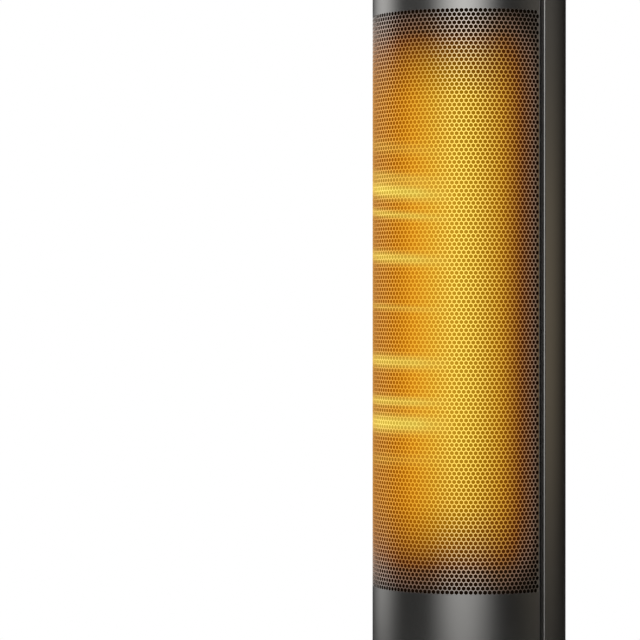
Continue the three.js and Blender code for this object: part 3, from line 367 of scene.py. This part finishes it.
def glow(finish, orange, yellow, pale, by_angle, by_height, metal=None):
    """Painted glow: emission from a level that fades outward, a tint between orange and yellow, and
    painted glint streaks. With metal, shares by angle, painted amber light also hides the finish's
    own colour."""
    def times(one, other):
        return finish.math("MULTIPLY", one, other)

    def ramp(stops):
        return finish.tones(level, *stops, blend="LINEAR")

    def faded(value, stops):
        return finish.tones(value, *[(place, (level,) * 3) for place, level in stops], blend="LINEAR")

    def by_side(stops):
        return faded(side, [((out / glow_half_angle + 1) / 2, share) for out, share in stops])

    def bell(value, middle, spread):
        away = finish.math("DIVIDE", finish.math("SUBTRACT", value, middle), spread)
        return finish.math("EXPONENT", times(times(away, away), -1.0))

    def mixed(share, first, second):
        colors = {"Fac": share, "Color1": first, "Color2": second}
        return finish.node("MixRGB", colors, use_clamp=True).outputs[0]

    turn, height = finish.around(), finish.height()
    side = finish.ranged(turn, 0.0, 1.0, -glow_half_angle, glow_half_angle)
    off_middle = finish.math("ABSOLUTE", finish.math("SUBTRACT", height, mesh_middle))
    upward = faded(finish.math("DIVIDE", off_middle, glow_half_height), by_height)
    level = times(by_side(by_angle), upward)
    # Painted glints: level streaks that lean a little with the angle, grow from the left and fade out
    # past the front
    lean = times(times(turn, streak_lean), finish.math("SUBTRACT", height, level_streak))
    slanted = finish.math("ADD", height, lean)
    lines = 0.0
    for middle, spread, strength in streaks:
        lines = finish.math("ADD", times(bell(slanted, middle, spread), strength), lines)
    foot = finish.ranged(height, yellow_foot_share, 1.0, *(mesh_middle + off for off in yellow_foot))
    tint = times(bell(turn, yellow_middle, yellow_spread), foot)
    base = mixed(tint, ramp(orange), ramp(yellow))
    fading = finish.ranged(turn, 1.0, 0.0, *streak_end)
    growing = finish.ranged(turn, streak_start_share, 1.0, *streak_start)
    streaked = finish.math("MINIMUM", times(lines, times(fading, growing)), 1.0)
    finish.feed("Emission Color", mixed(streaked, base, (*pale, 1)))
    finish.shader.inputs["Emission Strength"].default_value = 1.0
    # Painted amber light: by angle it hides the metal's own colour under a lit colour
    if metal:
        painted_lit_share = times(by_side(metal), upward)
        finish.feed("Base Color", mixed(painted_lit_share, finish.tone, (*lit_metal, 1)))


def make_finishes():
    """The finishes by short names. Each is a name, a colour, roughness, metallic and coat."""
    gunmetal, bright_gunmetal = (0.3, 0.295, 0.285), (0.4, 0.39, 0.375)
    upright = (1, 1, 0.25)           # stretches the drift of the drawn metal upward
    panel_specular, hole_specular = 0.3, 0.03
    rim_tint = (0.7, 0.7, 0.7, 1)    # keeps metal from turning white at grazing angles
    made = {
        "cover": Finish("satin_gunmetal", gunmetal, 0.30, 0.97).vary(0.05, 18, upright, 0.02)
        .grain(900, 0.00002, 0.25),
        # Mesh faces, hole walls and gauze carry the painted glow; walls and gauze are near black as
        # painted shade
        "web": Finish("lit_mesh_face", bright_gunmetal, 0.30, 0.97).vary(0.05, 18, upright, 0.02),
        "bore": Finish("lit_hole_wall", (0.006, 0.004, 0.002), 0.8).vary(0.1, 120),
        "gauze": Finish("painted_glow_gauze", (0.012, 0.008, 0.004), 0.9).vary(0.2, 400),
        "housing": Finish("satin_housing", gunmetal, 0.32, 0.97).vary(0.06, 14, upright, 0.02)
        .grain(900, 0.00002, 0.25),
        "black": Finish("grained_black", (0.022, 0.022, 0.023), 0.5).vary(0.15, 30).grain(1400, 0.00006),
        "plastic": Finish("dark_plastic", (0.03, 0.03, 0.031), 0.45).vary(0.15, 40).grain(1200, 0.00005),
        "gloss": Finish("piano_black", (0.008, 0.008, 0.009), 0.14, 0, 0.1).vary(0.3, 12, gloss=0.03),
        "lens": Finish("smoked_lens", (0.012, 0.009, 0.009), 0.05, 0, 0.1).vary(0.3, 12, gloss=0.02),
        "rubber": Finish("dull_rubber", (0.018, 0.018, 0.018), 0.8).vary(0.2, 90).grain(1500, 0.00008),
        "steel": Finish("zinc_steel", (0.55, 0.55, 0.57), 0.3, 1).vary(0.12, 160, gloss=0.08),
        "iron": Finish("cast_iron", (0.09, 0.09, 0.095), 0.65, 0.8).vary(0.25, 70).grain(350, 0.0003),
        "aluminium": Finish("mill_aluminium", (0.66, 0.67, 0.68), 0.38, 1).vary(0.1, 80, (1, 1, 0.1)),
        "nylon": Finish("natural_nylon", (0.72, 0.7, 0.64), 0.5).vary(0.05, 40),
        "board": Finish("solder_mask", (0.02, 0.12, 0.05), 0.3).vary(0.25, 120),
        "filter": Finish("dust_mesh", (0.04, 0.04, 0.042), 0.9).vary(0.2, 300).grain(1800, 0.0002),
        "mica": Finish("mica_board", (0.25, 0.12, 0.035), 0.6).vary(0.25, 60).grain(500, 0.0001),
        "print": Finish("pale_print", (0.75, 0.75, 0.74), 0.5).vary(0.04, 300),
        "wire": Finish("silicone_sleeve", (0.35, 0.02, 0.015), 0.5).vary(0.15, 60),
    }
    for name in ("gloss", "lens"):
        made[name].shader.inputs["Specular IOR Level"].default_value = panel_specular
    for name in ("cover", "web", "housing"):
        made[name].shader.inputs["Specular Tint"].default_value = rim_tint
    # Painted glow and painted amber light on the mesh's faces, painted glow on the hole walls and gauze
    glow(made["web"], web_orange, web_yellow, web_glint, web_by_angle, web_by_height, painted_light_by_angle)
    for name in ("bore", "gauze"):
        made[name].shader.inputs["Specular IOR Level"].default_value = hole_specular
        glow(made[name], hole_orange, hole_yellow, hole_glint, hole_by_angle, hole_by_height)
    return {name: finish.material for name, finish in made.items()}


# Meshes

def new_mesh(name, points, faces):
    mesh = bpy.data.meshes.new(name)
    mesh.from_pydata(points, [], faces)
    return mesh


def soften(piece, width, segments=2, least_bend=40):
    """Rounds every edge that bends more than so many degrees, so that it catches the light."""
    bevel = piece.modifiers.new("rounded_edges", "BEVEL")
    bevel.width = width
    bevel.segments = segments
    bevel.limit_method = "ANGLE"
    bevel.angle_limit = radians(least_bend)
    bevel.harden_normals = True
    return bevel


def add_object(name, mesh, materials, body, replaced=(), rounded=0.0, outward=False, sharp=32):
    """Adds a finished piece that rides on a body and stands for the replaced CAD nodes."""
    for material in materials:
        mesh.materials.append(material)
    mesh.validate()
    if outward:
        edit = bmesh.new()
        edit.from_mesh(mesh)
        bmesh.ops.recalc_face_normals(edit, faces=edit.faces)
        edit.to_mesh(mesh)
        edit.free()
    mesh.polygons.foreach_set("use_smooth", [True] * len(mesh.polygons))
    mesh.set_sharp_from_angle(angle=radians(sharp))
    piece = bpy.data.objects.new(name, mesh)
    bpy.context.scene.collection.objects.link(piece)
    if rounded:
        soften(piece, rounded)
    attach(piece, body)
    if replaced:
        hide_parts(*replaced)
    return piece


class Sheet:
    """A curved sheet. place turns a grid point and a depth under the outer face into a point."""

    def __init__(self, thickness, place):
        self.thickness, self.place = thickness, place
        self.points, self.faces, self.looks, self.index = [], [], [], {}

    def vertex(self, key, level):
        """The grid point key, on the outer face at level 0 or the inner face at level 1."""
        if (key, level) not in self.index:
            self.index[key, level] = len(self.points)
            self.points.append(self.place(key, level * self.thickness))
        return self.index[key, level]

    def face(self, corners, look=0):
        self.faces.append(corners)
        self.looks.append(look)

    def plain(self, loop):
        """A polygon with no hole, seen anticlockwise from outside."""
        self.face([self.vertex(key, 0) for key in loop])
        self.face([self.vertex(key, 1) for key in reversed(loop)])

    def ring(self, centre, share, depth):
        start = len(self.points)
        for corner in cell_corners:
            key = (centre[0] + corner[0] * share, centre[1] + corner[1] * share)
            self.points.append(self.place(key, depth))
        return list(range(start, start + len(cell_corners)))

    def pierced(self, centre):
        """A hexagonal cell with a bevelled hexagonal hole through it."""
        border = [(centre[0] + i, centre[1] + k) for i, k in cell_corners]
        rings = [
            [self.vertex(key, 0) for key in border],
            self.ring(centre, hole_share + hole_bevel, 0),
            self.ring(centre, hole_share, bevel_depth),
            self.ring(centre, hole_share, self.thickness),
            [self.vertex(key, 1) for key in border],
        ]
        for number, (outer, inner) in enumerate(zip(rings, rings[1:])):
            look = 1 if number in (2, 3) else 0
            for a in range(len(border)):
                b = (a + 1) % len(border)
                self.face([outer[a], outer[b], inner[b], inner[a]], look)

    def grid(self, angles, heights, is_open):
        """Plain quads between all grid lines but those that is_open(angle, height) leaves out."""
        for a, b in zip(angles, angles[1:]):
            for low, high in zip(heights, heights[1:]):
                if not is_open((a + b) / 2, (low + high) / 2):
                    self.plain([(a, low), (b, low), (b, high), (a, high)])

    def round_hole(self, angles, heights, radius, body):
        """A round hole in the middle of a block of five by five grid lines."""
        border = [(angle, heights[0]) for angle in angles] + [(angles[-1], z) for z in heights[1:]]
        border += [(angle, heights[-1]) for angle in angles[-2::-1]]
        border += [(angles[0], z) for z in heights[-2:0:-1]]
        middle, level, count = angles[2], heights[2], len(border)
        hole = []
        for step in range(count):
            turn = 2 * pi * step / count - 3 * pi / 4        # from the lower left corner
            hole.append((middle + degrees(radius * cos(turn) / body), level + radius * sin(turn)))
        for step in range(count):
            after = (step + 1) % count
            self.plain([border[step], border[after], hole[after], hole[step]])

    def closed(self, look):
        """Walls along every edge that has a face on one side only."""
        used = set()
        for corners in self.faces:
            used.update(zip(corners, corners[1:] + corners[:1]))
        lower = {self.index[key, 0]: self.index[key, 1] for key, level in self.index if level == 0}
        for a, b in sorted(used):
            if (b, a) not in used and a in lower and b in lower:
                self.face([b, a, lower[a], lower[b]], look)

    def mesh(self, name, look=1):
        self.closed(look)
        made = new_mesh(name, self.points, self.faces)
        made.polygons.foreach_set("material_index", self.looks)
        return made


# The perforated field: rows of hexagonal holes, each row half a pitch across from the last.
# Its grid counts half columns from the front and thirds of rows from the first row.
mesh_end_angle = radians(70.03)
mesh_columns = 51
mesh_rows = 143
row_pitch = 0.0026723
hole_share = 0.83
hole_bevel = 0.025
bevel_depth = 0.00018
mesh_thickness = 0.0012
band_thickness = 0.002
mesh_parts = 4
half_pitch = mesh_end_angle / mesh_columns
third = row_pitch / 3
first_row = mesh_middle - (mesh_rows - 1) * row_pitch / 2
cell_corners = ((0, 2), (-1, 1), (-1, -1), (0, -2), (1, -1), (1, 1))


def on_grid(key, depth):
    across, up = key
    return polar(body_radius - depth, across * half_pitch, first_row + up * third)


def make_perforated_cover(finishes):
    looks = [finishes["web"], finishes["bore"]]
    for part in range(mesh_parts):
        sheet = Sheet(mesh_thickness, on_grid)
        first, after = (mesh_rows * number // mesh_parts for number in (part, part + 1))
        for row in range(first, after):
            up, narrow = 3 * row, row % 2 == 0
            for across in range(-mesh_columns + (2 if narrow else 1), mesh_columns, 2):
                sheet.pierced((across, up))
            for side in (-1, 1) if narrow else ():
                edge = side * mesh_columns
                loop = [(edge, up + 2), (edge, up - 2), (edge - side, up - 1), (edge - side, up + 1)]
                sheet.plain(loop if side < 0 else loop[::-1])
        name = f"cover_mesh_{part + 1}"
        add_object(name, sheet.mesh(name), looks, "tower", ["front_cover"])


def make_cover_bands(finishes):
    """The plain bands above and below the field. Each meets the field along a zigzag."""
    bottom = (cover_low.z - first_row) / third
    top = (cover_high.z - first_row) / third
    last = 3 * (mesh_rows - 1)

    def lower_edge(across):
        return -2 if across % 2 else -1

    def upper_edge(across):
        return last + (2 if across % 2 else 1)

    bands = (("cover_foot_band", lower_edge, bottom), ("cover_head_band", upper_edge, top))
    for name, inner, outer in bands:
        sheet = Sheet(band_thickness, on_grid)
        for across in range(-mesh_columns, mesh_columns):
            loop = [(across, inner(across)), (across, outer), (across + 1, outer),
                    (across + 1, inner(across + 1))]
            sheet.plain(loop if outer < 0 else loop[::-1])
        add_object(name, sheet.mesh(name, 0), [finishes["cover"]], "tower",
                   ["front_cover"])


def swept_strip(name, profile, bottom, top, look, replaced, rounded=0.0):
    """An upright strip whose cross-section is a closed loop of (radius, angle in degrees)."""
    count = len(profile)
    points = [polar(radius, radians(angle), z) for z in (bottom, top) for radius, angle in profile]
    faces = [[i, (i + 1) % count, count + (i + 1) % count, count + i] for i in range(count)]
    faces += [list(range(count))[::-1], list(range(count, 2 * count))]
    mesh = new_mesh(name, points, faces)
    return add_object(name, mesh, [look], "tower", replaced, rounded, outward=True)


# The cover's side edges, angles in degrees from the front
cover_fold_angle = 70.25
lip_end_angle = 74.4
fold_depth = 0.0035
lip_depth = 0.0042
fold_radius = 0.00022
lip_start = degrees(mesh_end_angle) + 0.05


def rounded_corner(radius, angle, size, steps=7):
    """(radius, angle) points round a corner from the outer face to an end."""
    bend = degrees(size / radius)
    return [(radius - size * (1 - cos(turn)), angle + bend * (1 - sin(turn)))
            for turn in np.linspace(0, pi / 2, steps)]


def make_cover_edges(finishes):
    """The side edges of the cover, folded down into a dark rabbet beside the housing."""
    start = degrees(mesh_end_angle)
    mirror = 2 * cover_fold_angle
    corner = [(radius, mirror - angle) for radius, angle in
              rounded_corner(body_radius, cover_fold_angle, fold_radius)]
    loop = [(body_radius, start), *corner, (body_radius - fold_depth, cover_fold_angle),
            (body_radius - fold_depth, lip_end_angle), (body_radius - lip_depth, lip_end_angle),
            (body_radius - lip_depth, lip_start), (body_radius - mesh_thickness, start)]
    for name, side in (("cover_left_edge", -1), ("cover_right_edge", 1)):
        profile = [(radius, side * angle) for radius, angle in loop]
        swept_strip(name, profile, cover_low.z, cover_high.z, finishes["cover"],
                    ["front_cover"])


def make_gauze(finishes):
    """A dark gauze close behind the holes, which carries the painted glow.
    Its near-black colour is painted shade inside the tower.
    """
    thickness, space = 0.0003, 0.0002

    def behind(key, depth):
        return on_grid(key, mesh_thickness + space + depth)

    sheet = Sheet(thickness, behind)
    low, high = -4, 3 * mesh_rows + 1    # a little past the field
    for across in range(-mesh_columns, mesh_columns):
        sheet.plain([(across, low), (across + 1, low), (across + 1, high), (across, high)])
    add_object("glow_gauze", sheet.mesh("glow_gauze", 0), [finishes["gauze"]], "tower",
               ["front_cover"])


# Rear housing, angles in degrees from the front

housing_start = 75.2             # where its outer face begins
housing_joint = 78.0             # where its rounded front strips meet the shell
rim_foot = 77.4                  # where the strips step down to the tongue
tongue_end = 68.0                # the tongue reaches forward under the cover's edge
tongue_depth = 0.0043
tongue_outer = body_radius - tongue_depth
wall = 0.0025
rim_radius = 0.0012


def steps_between(start, end, pitch):
    count = max(1, round((end - start) / pitch))
    return [start + (end - start) * i / count for i in range(count + 1)]


def grid_lines(marks, pitch):
    """Grid lines through all the marks, about a pitch apart."""
    marks = sorted(marks)
    lines = [marks[0]]
    for start, end in zip(marks, marks[1:]):
        lines += steps_between(start, end, pitch)[1:]
    return lines


def make_rear_housing(finishes):
    low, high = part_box("rear_housing")
    grille_low, grille_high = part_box("intake_grille")
    cup_low, cup_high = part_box("handle_cup")
    gap, angle_pitch, height_pitch = 0.0003, 3.2, 0.04
    grille_side = 30.0
    handle_side = degrees(asin((cup_high.x + gap) / body_radius))
    switch_half_width, switch_half_height = 0.0062, 0.0092
    switch_side = degrees(asin(switch_half_width / body_radius))
    straight, same_angle = (handle_side, switch_side), 1e-6
    switch_level, gland_level, screw_level = (
        box_middle(node)[2] for node in ("switch_frame", "cord_gland", "housing_screw_1"))

    # Round holes, each in a block of five by five grid lines
    five = (-2, -1, 0, 1, 2)
    gland_hole, gland_step, gland_rise = 0.0068, 3.6, 0.0045
    screw_hole, screw_step, screw_rise, screw_angles = 0.0019, 1.3, 0.0013, (115, 245)
    gland_angles = [180 + gland_step * i for i in five]
    gland_heights = [gland_level + gland_rise * i for i in five]
    screw_heights = [screw_level + screw_rise * i for i in five]
    screws = [[middle + screw_step * i for i in five] for middle in screw_angles]

    # Openings round the back: degrees to each side, bottom and top
    openings = ((grille_side, grille_low.z - gap, grille_high.z + gap),
                (handle_side, cup_low.z - gap, cup_high.z + gap),
                (switch_side, switch_level - switch_half_height, switch_level + switch_half_height),
                (2 * gland_step, gland_heights[0], gland_heights[-1]))
    angles = {housing_joint, 360 - housing_joint, *gland_angles, *screws[0], *screws[1]}
    heights = {low.z, high.z, *gland_heights, *screw_heights}
    for side, bottom, top in openings:
        angles.update((180 - side, 180 + side))
        heights.update((bottom, top))

    def place(key, depth):
        """Inward to the axis, but square to the back at the sides of the straight openings."""
        angle, z = key
        off = angle - 180
        if any(abs(abs(off) - edge) < same_angle for edge in straight):
            off = degrees(asin(body_radius * sin(radians(off)) / (body_radius - depth)))
        return polar(body_radius - depth, radians(180 + off), z)

    def is_open(angle, z):
        if any(abs(angle - 180) < side and bottom < z < top for side, bottom, top in openings):
            return True
        near_screw = any(block[0] < angle < block[-1] for block in screws)
        return near_screw and screw_heights[0] < z < screw_heights[-1]

    shell = Sheet(wall, place)
    shell.grid(grid_lines(angles, angle_pitch), grid_lines(heights, height_pitch), is_open)
    shell.round_hole(gland_angles, gland_heights, gland_hole, body_radius)
    for block in screws:
        shell.round_hole(block, screw_heights, screw_hole, body_radius)
    add_object("housing_shell", shell.mesh("housing_shell", 0), [finishes["housing"]], "tower",
               ["rear_housing"])
    for name, side in (("housing_left_rim", -1), ("housing_right_rim", 1)):
        loop = [(body_radius, housing_joint), *rounded_corner(body_radius, housing_start, rim_radius),
                (tongue_outer, housing_start), (tongue_outer, tongue_end),
                (tongue_outer - wall, tongue_end), (tongue_outer - wall, rim_foot),
                (body_radius - wall, rim_foot), (body_radius - wall, housing_joint)]
        swept_strip(name, [(radius, side * angle) for radius, angle in loop], low.z, high.z,
                    finishes["housing"], ["rear_housing"])


# Turned forms. Their profiles are in millimetres: from the axis, and up from the floor.

def turned(name, profile, look, body, replaced, rounded=0.0, steps=128, matrix=None):
    """A closed loop of (radius, height) in millimetres, turned round the upright axis."""
    points, faces, rings = [], [], []
    for radius, height in profile:
        count = steps if radius > 0 else 1
        rings.append(range(len(points), len(points) + count))
        points += [polar(radius / 1000, 2 * pi * i / steps, height / 1000) for i in range(count)]
    pairs = list(zip(rings, rings[1:])) + ([] if profile[0][0] == 0 else [(rings[-1], rings[0])])
    for one, other in pairs:
        for i in range(steps):
            after = (i + 1) % steps
            corners = [one[i % len(one)], one[after % len(one)], other[after % len(other)],
                       other[i % len(other)]]
            faces.append(list(dict.fromkeys(corners)))
    mesh = new_mesh(name, points, [face for face in faces if len(face) > 2])
    if matrix is not None:
        mesh.transform(matrix)
    return add_object(name, mesh, [look], body, replaced, rounded, outward=True)


def arc_points(centre, reach, start, end, steps):
    """(radius, height) points on an ellipse, angles in degrees from the outward direction."""
    return [(centre[0] + reach[0] * cos(radians(turn)), centre[1] + reach[1] * sin(radians(turn)))
            for turn in np.linspace(start, end, steps + 1)]


def make_top_cap(finishes):
    outer, inner, bend = 65, 62.5, 10
    seat, shelf = 52, 46                 # the recess for the panel, and the shelf in it
    spigot, spigot_bore = 57.9, 55.4
    spigot_end, foot, seam, deck = 564, 572, 572.4, 574.5
    shoulder, shelf_foot, shelf_top, rim = 598.8, 603.8, 606.3, 608.8
    profile = [(outer, seam), (outer, shoulder),
               *arc_points((outer - bend, shoulder), (bend, bend), 0, 90, 14)[1:],
               (seat, rim), (seat, shelf_top), (shelf, shelf_top), (shelf, shelf_foot),
               (inner - 5, shelf_foot), (inner, shoulder), (inner, deck), (spigot_bore, deck),
               (spigot_bore, spigot_end), (spigot, spigot_end), (spigot, foot), (outer - 0.4, foot)]
    turned("cap_shell", profile, finishes["housing"], "tower", ["top_cap"], 0.0003)


def make_base(finishes):
    crown, reach, shell, foot = (60, 8), (35, 18), 2.5, 3
    outer, top = crown[0] + reach[0], crown[1] + reach[1]
    well, well_floor, pivot = 50, 16, 15.3
    dome = arc_points(crown, reach, 0, 90, 20)
    under = arc_points(crown, (reach[0] - shell, reach[1] - shell), 90, 0, 12)
    profile = [(outer - 1, foot), (outer, foot + 1), *dome, (well + 1, top), (well, top - 1),
               (well, well_floor), (pivot, well_floor), (pivot, well_floor - shell),
               (well + shell, well_floor - shell), (well + shell, top - shell), *under,
               (outer - shell, foot)]
    turned("base_dome", profile, finishes["black"], "base", ["base_shell"], 0.0003)


def make_cord_gland(finishes):
    bore, sleeve, collar, nose = 3.5, 6.5, 9, 4.6
    start, seat, end = 54.5, 65.3, 70.5  # how far from the tower's axis
    profile = [(bore, start + 0.5), (bore + 0.5, start), (sleeve, start), (sleeve, seat),
               (collar - 0.4, seat), (collar, seat + 0.4), (collar - 0.2, seat + 1),
               *arc_points((collar - 0.4, end - 0.2), (3.6, 4), 270, 180, 6),
               (nose, end), (bore + 0.4, end), (bore, end - 0.4)]
    lift = Matrix.Translation((0, 0, box_middle("cord_gland")[2]))
    turned("gland_sleeve", profile, finishes["rubber"], "tower", ["cord_gland"],
           steps=48, matrix=lift @ Matrix.Rotation(-pi / 2, 4, "X"))


# Intake grille: seven upright slots in each of three rows

def make_intake_grille(finishes):
    low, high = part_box("intake_grille")
    half_angle, columns, rows, rib = 29.7, 7, 3, 0.005
    slot_half_width, angle_pitch, rounding = 0.0023, 2.2, 0.0006
    slot_half = degrees(slot_half_width / (body_radius - wall / 2))
    rise = (high.z - low.z - rib) / rows
    pitch = 2 * half_angle / columns
    middles = [180 - half_angle + pitch * (column + 0.5) for column in range(columns)]
    sides = [middle + side * slot_half for middle in middles for side in (-1, 1)]
    ends = [low.z + rib + rise * row for row in range(rows)]
    levels = [low.z, *ends, *[end + rise - rib for end in ends], high.z]

    def is_open(angle, z):
        in_row = any(end < z < end + rise - rib for end in ends)
        return in_row and any(abs(angle - middle) < slot_half for middle in middles)

    def place(key, depth):
        return polar(body_radius - depth, radians(key[0]), key[1])

    panel = Sheet(wall, place)
    angles = grid_lines([180 - half_angle, *sides, 180 + half_angle], angle_pitch)
    panel.grid(angles, sorted(levels), is_open)
    add_object("grille_panel", panel.mesh("grille_panel", 0), [finishes["plastic"]], "tower",
               ["intake_grille"], rounding)


# Control panel, keys and their marks

# A key's dished top, rounded rim, skirt and flange, as (radius, height) in millimetres
key_stem = 2
key_profile = ((0, 609.7), (2, 609.72), (4, 609.8), (5, 609.92), (5.35, 610), (5.7, 609.9),
               (5.92, 609.7), (6, 609.3), (6, 606.3), (7.3, 606.3), (7.3, 604.9), (key_stem, 604.9))


def circle(x, y, radius, count=48):
    return [(x + radius * cos(2 * pi * i / count), y + radius * sin(2 * pi * i / count))
            for i in range(count)]


def rounded_rectangle(x, y, width, depth, radius, steps=6):
    corners = ((1, 1, 0), (-1, 1, 90), (-1, -1, 180), (1, -1, 270))
    loop = []
    for side, end, start in corners:
        middle = (x + side * (width / 2 - radius), y + end * (depth / 2 - radius))
        for turn in np.linspace(radians(start), radians(start + 90), steps):
            loop.append((middle[0] + radius * cos(turn), middle[1] + radius * sin(turn)))
    return loop


def flat_plate(name, loops, bottom, top, look, body, replaced=(), edge=0.0003):
    """A flat plate. The first loop is its outline and the others are holes through it."""
    same_place = 1e-6
    curve = bpy.data.curves.new(name, "CURVE")
    curve.dimensions = "2D"
    curve.fill_mode = "BOTH"
    curve.extrude = (top - bottom) / 2 - edge
    curve.bevel_depth = edge
    curve.bevel_resolution = 1
    curve.offset = -edge
    for loop in loops:
        spline = curve.splines.new("POLY")
        spline.points.add(len(loop) - 1)
        for point, (x, y) in zip(spline.points, loop):
            point.co = (x, y, 0, 1)
        spline.use_cyclic_u = True
    drawn = bpy.data.objects.new(name + "_outline", curve)
    mesh = bpy.data.meshes.new_from_object(drawn)
    bpy.data.objects.remove(drawn)
    bpy.data.curves.remove(curve)
    edit = bmesh.new()
    edit.from_mesh(mesh)
    bmesh.ops.remove_doubles(edit, verts=edit.verts, dist=same_place)
    edit.to_mesh(mesh)
    edit.free()
    mesh.materials.clear()
    mesh.transform(Matrix.Translation((0, 0, (bottom + top) / 2)))
    return add_object(name, mesh, [look], body, replaced, outward=True, sharp=15)


def key_marks():
    """Strokes of each key's mark, in shares of the mark's half size."""
    def arc(start, end, radius=1.0, count=24):
        return [(radius * cos(radians(turn)), radius * sin(radians(turn)))
                for turn in np.linspace(start, end, count)]

    wave = [(0.22 * sin(t * pi * 2), 1.7 * t - 0.85) for t in np.linspace(0, 1, 16)]
    waves = [[(x + shift, y) for x, y in wave] for shift in (-0.6, 0, 0.6)]
    return {
        "mode": waves,
        "power": [arc(125, 415), [(0, 0.2), (0, 1.1)]],
        "sway": [arc(215, 325, 1.1), [(-1.25, -0.15), (-0.9, -0.63), (-0.35, -0.5)],
                 [(1.25, -0.15), (0.9, -0.63), (0.35, -0.5)], [(0, 0.9), (0, -0.2)]],
        "cooler": [[(-0.9, 0), (0.9, 0)]],
        "timer": [arc(0, 360), [(0, 0.6), (0, 0), (0.42, -0.25)]],
        "warmer": [[(-0.9, 0), (0.9, 0)], [(0, -0.9), (0, 0.9)]],
    }


def ribbon(points, faces, line, width, bottom, top):
    """A flat band of a given width along a line, as a closed strip."""
    start = len(points)
    line = [Vector((x, y, 0)) for x, y in line]
    for number, at in enumerate(line):
        along = line[min(number + 1, len(line) - 1)] - line[max(number - 1, 0)]
        across = Vector((-along.y, along.x, 0)).normalized() * width / 2
        for side, z in ((1, bottom), (-1, bottom), (-1, top), (1, top)):
            points.append(at + across * side + Vector((0, 0, z)))
    for number in range(len(line) - 1):
        here = start + 4 * number
        faces += [(here + i, here + (i + 1) % 4, here + 4 + (i + 1) % 4, here + 4 + i) for i in range(4)]
    last = len(points) - 4
    faces += [(start + 3, start + 2, start + 1, start), (last, last + 1, last + 2, last + 3)]


def add_mark(name, strokes, look, body, size, width, bottom, top, matrix):
    """Printed strokes on a plane, laid on the body by a matrix."""
    points, faces = [], []
    for stroke in strokes:
        line = [(across * size, along * size) for across, along in stroke]
        ribbon(points, faces, line, width, bottom, top)
    mesh = new_mesh(name, points, faces)
    mesh.transform(matrix)
    add_object(name, mesh, [look], body, outward=True)


def make_control_panel(finishes):
    top, thickness, key_hole, gap = 0.6088, 0.0022, 0.0063, 0.0003
    lens_corner, window_corner = 0.0012, 0.0015
    mark_size, mark_width, mark_bottom, mark_top = 0.0024, 0.0004, 0.60965, 0.60985
    lens_low, lens_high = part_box("display_lens")
    lens = box_middle("display_lens")[:2]
    width, depth = lens_high.x - lens_low.x, lens_high.y - lens_low.y
    window = rounded_rectangle(*lens, width + 2 * gap, depth + 2 * gap, window_corner)
    loops = [circle(0, 0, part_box("control_panel")[1].x, 128), window]
    for name, strokes in key_marks().items():
        node, body = name + "_button", name + "_key"
        x, y = box_middle(node)[:2]
        loops.append(circle(x, y, key_hole))
        foot, over_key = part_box(node)[0].z * 1000, Matrix.Translation((x, y, 0))
        turned(name + "_key_top", [*key_profile, (key_stem, foot), (0, foot)], finishes["plastic"], body,
               [node], steps=48, matrix=over_key)
        add_mark(name + "_mark", strokes, finishes["print"], body, mark_size, mark_width, mark_bottom,
                 mark_top, over_key)
    flat_plate("panel_plate", loops, top - thickness, top, finishes["gloss"], "tower",
               ["control_panel"])
    lens_loop = rounded_rectangle(*lens, width, depth, lens_corner)
    flat_plate("lens_plate", [lens_loop], lens_low.z, lens_high.z, finishes["lens"], "tower",
               ["display_lens"])


# The rear rocker: half the angle of its arc, how deep its faces meet in shares of its radius,
# and its tilt at rest. Its two sloping faces carry a line and a ring.
rocker_end, rocker_dish, rocker_rest = radians(28), 0.3, radians(9)


def make_rocker_marks(finishes):
    joints = frame["record"]["behaviour"]["joints"]
    pivot = Vector(next(joint["pos_m"] for joint in joints if joint["name"] == "rocker_tilt"))
    half = 2 * (body_radius - pivot.y)
    mark_size, mark_width, sunk, proud = 0.0013, 0.0005, -0.00005, 0.00008
    slope = atan((sin(rocker_end) - rocker_dish) / cos(rocker_end))
    ring = [(cos(turn), sin(turn)) for turn in np.linspace(0, 2 * pi, 33)]
    bar = [(0, -1), (0, 1)]
    for name, stroke, up in (("rocker_on_mark", bar, 1), ("rocker_off_mark", ring, -1)):
        middle = Vector((0, half * (sin(rocker_end) + rocker_dish) / 2, up * half * cos(rocker_end) / 2))
        lean = rocker_rest - up * slope
        face = Matrix.Translation(pivot + Matrix.Rotation(rocker_rest, 3, "X") @ middle)
        face = face @ Matrix.Rotation(lean - pi / 2, 4, "X") @ Matrix.Rotation(pi, 4, "Z")
        add_mark(name, [stroke], finishes["print"], "rocker", mark_size, mark_width, sunk, proud, face)


slot_finishes = {
    "cover_grey": "cover", "housing_grey": "housing", "base_black": "black", "dark_plastic": "plastic",
    "gloss_black": "gloss", "smoked_lens": "lens", "rubber": "rubber", "steel": "steel",
    "cast_iron": "iron", "aluminium": "aluminium", "white_plastic": "nylon", "board_green": "board",
    "filter_mesh": "filter", "element_frame": "mica", "wire_red": "wire",
}


def dress_nodes(finishes):
    """Gives each CAD node the finish of its material slot, joined corners and rounded edges."""
    same_place, rounding, crisp_angle = 0.00001, 0.00025, 30
    for node in frame["nodes"].values():
        for place in node.material_slots:
            name = place.material.name.split(".")[0]
            place.material = finishes[slot_finishes[name]]
        node.data.polygons.foreach_set("use_smooth", [True] * len(node.data.polygons))
        weld = node.modifiers.new("joined_corners", "WELD")
        weld.merge_threshold = same_place
        soften(node, rounding, 1).harden_normals = False
        split = node.modifiers.new("crisp_edges", "EDGE_SPLIT")
        split.split_angle = radians(crisp_angle)


def build():
    make_camera()
    make_lights()
    make_world()
    make_floor()
    make_dark_cards()
    bpy.context.scene.view_settings.view_transform = "Standard"
    finishes = make_finishes()
    dress_nodes(finishes)
    make_perforated_cover(finishes)
    make_cover_bands(finishes)
    make_cover_edges(finishes)
    make_gauze(finishes)
    make_rear_housing(finishes)
    make_top_cap(finishes)
    make_base(finishes)
    make_cord_gland(finishes)
    make_intake_grille(finishes)
    make_control_panel(finishes)
    make_rocker_marks(finishes)


build()
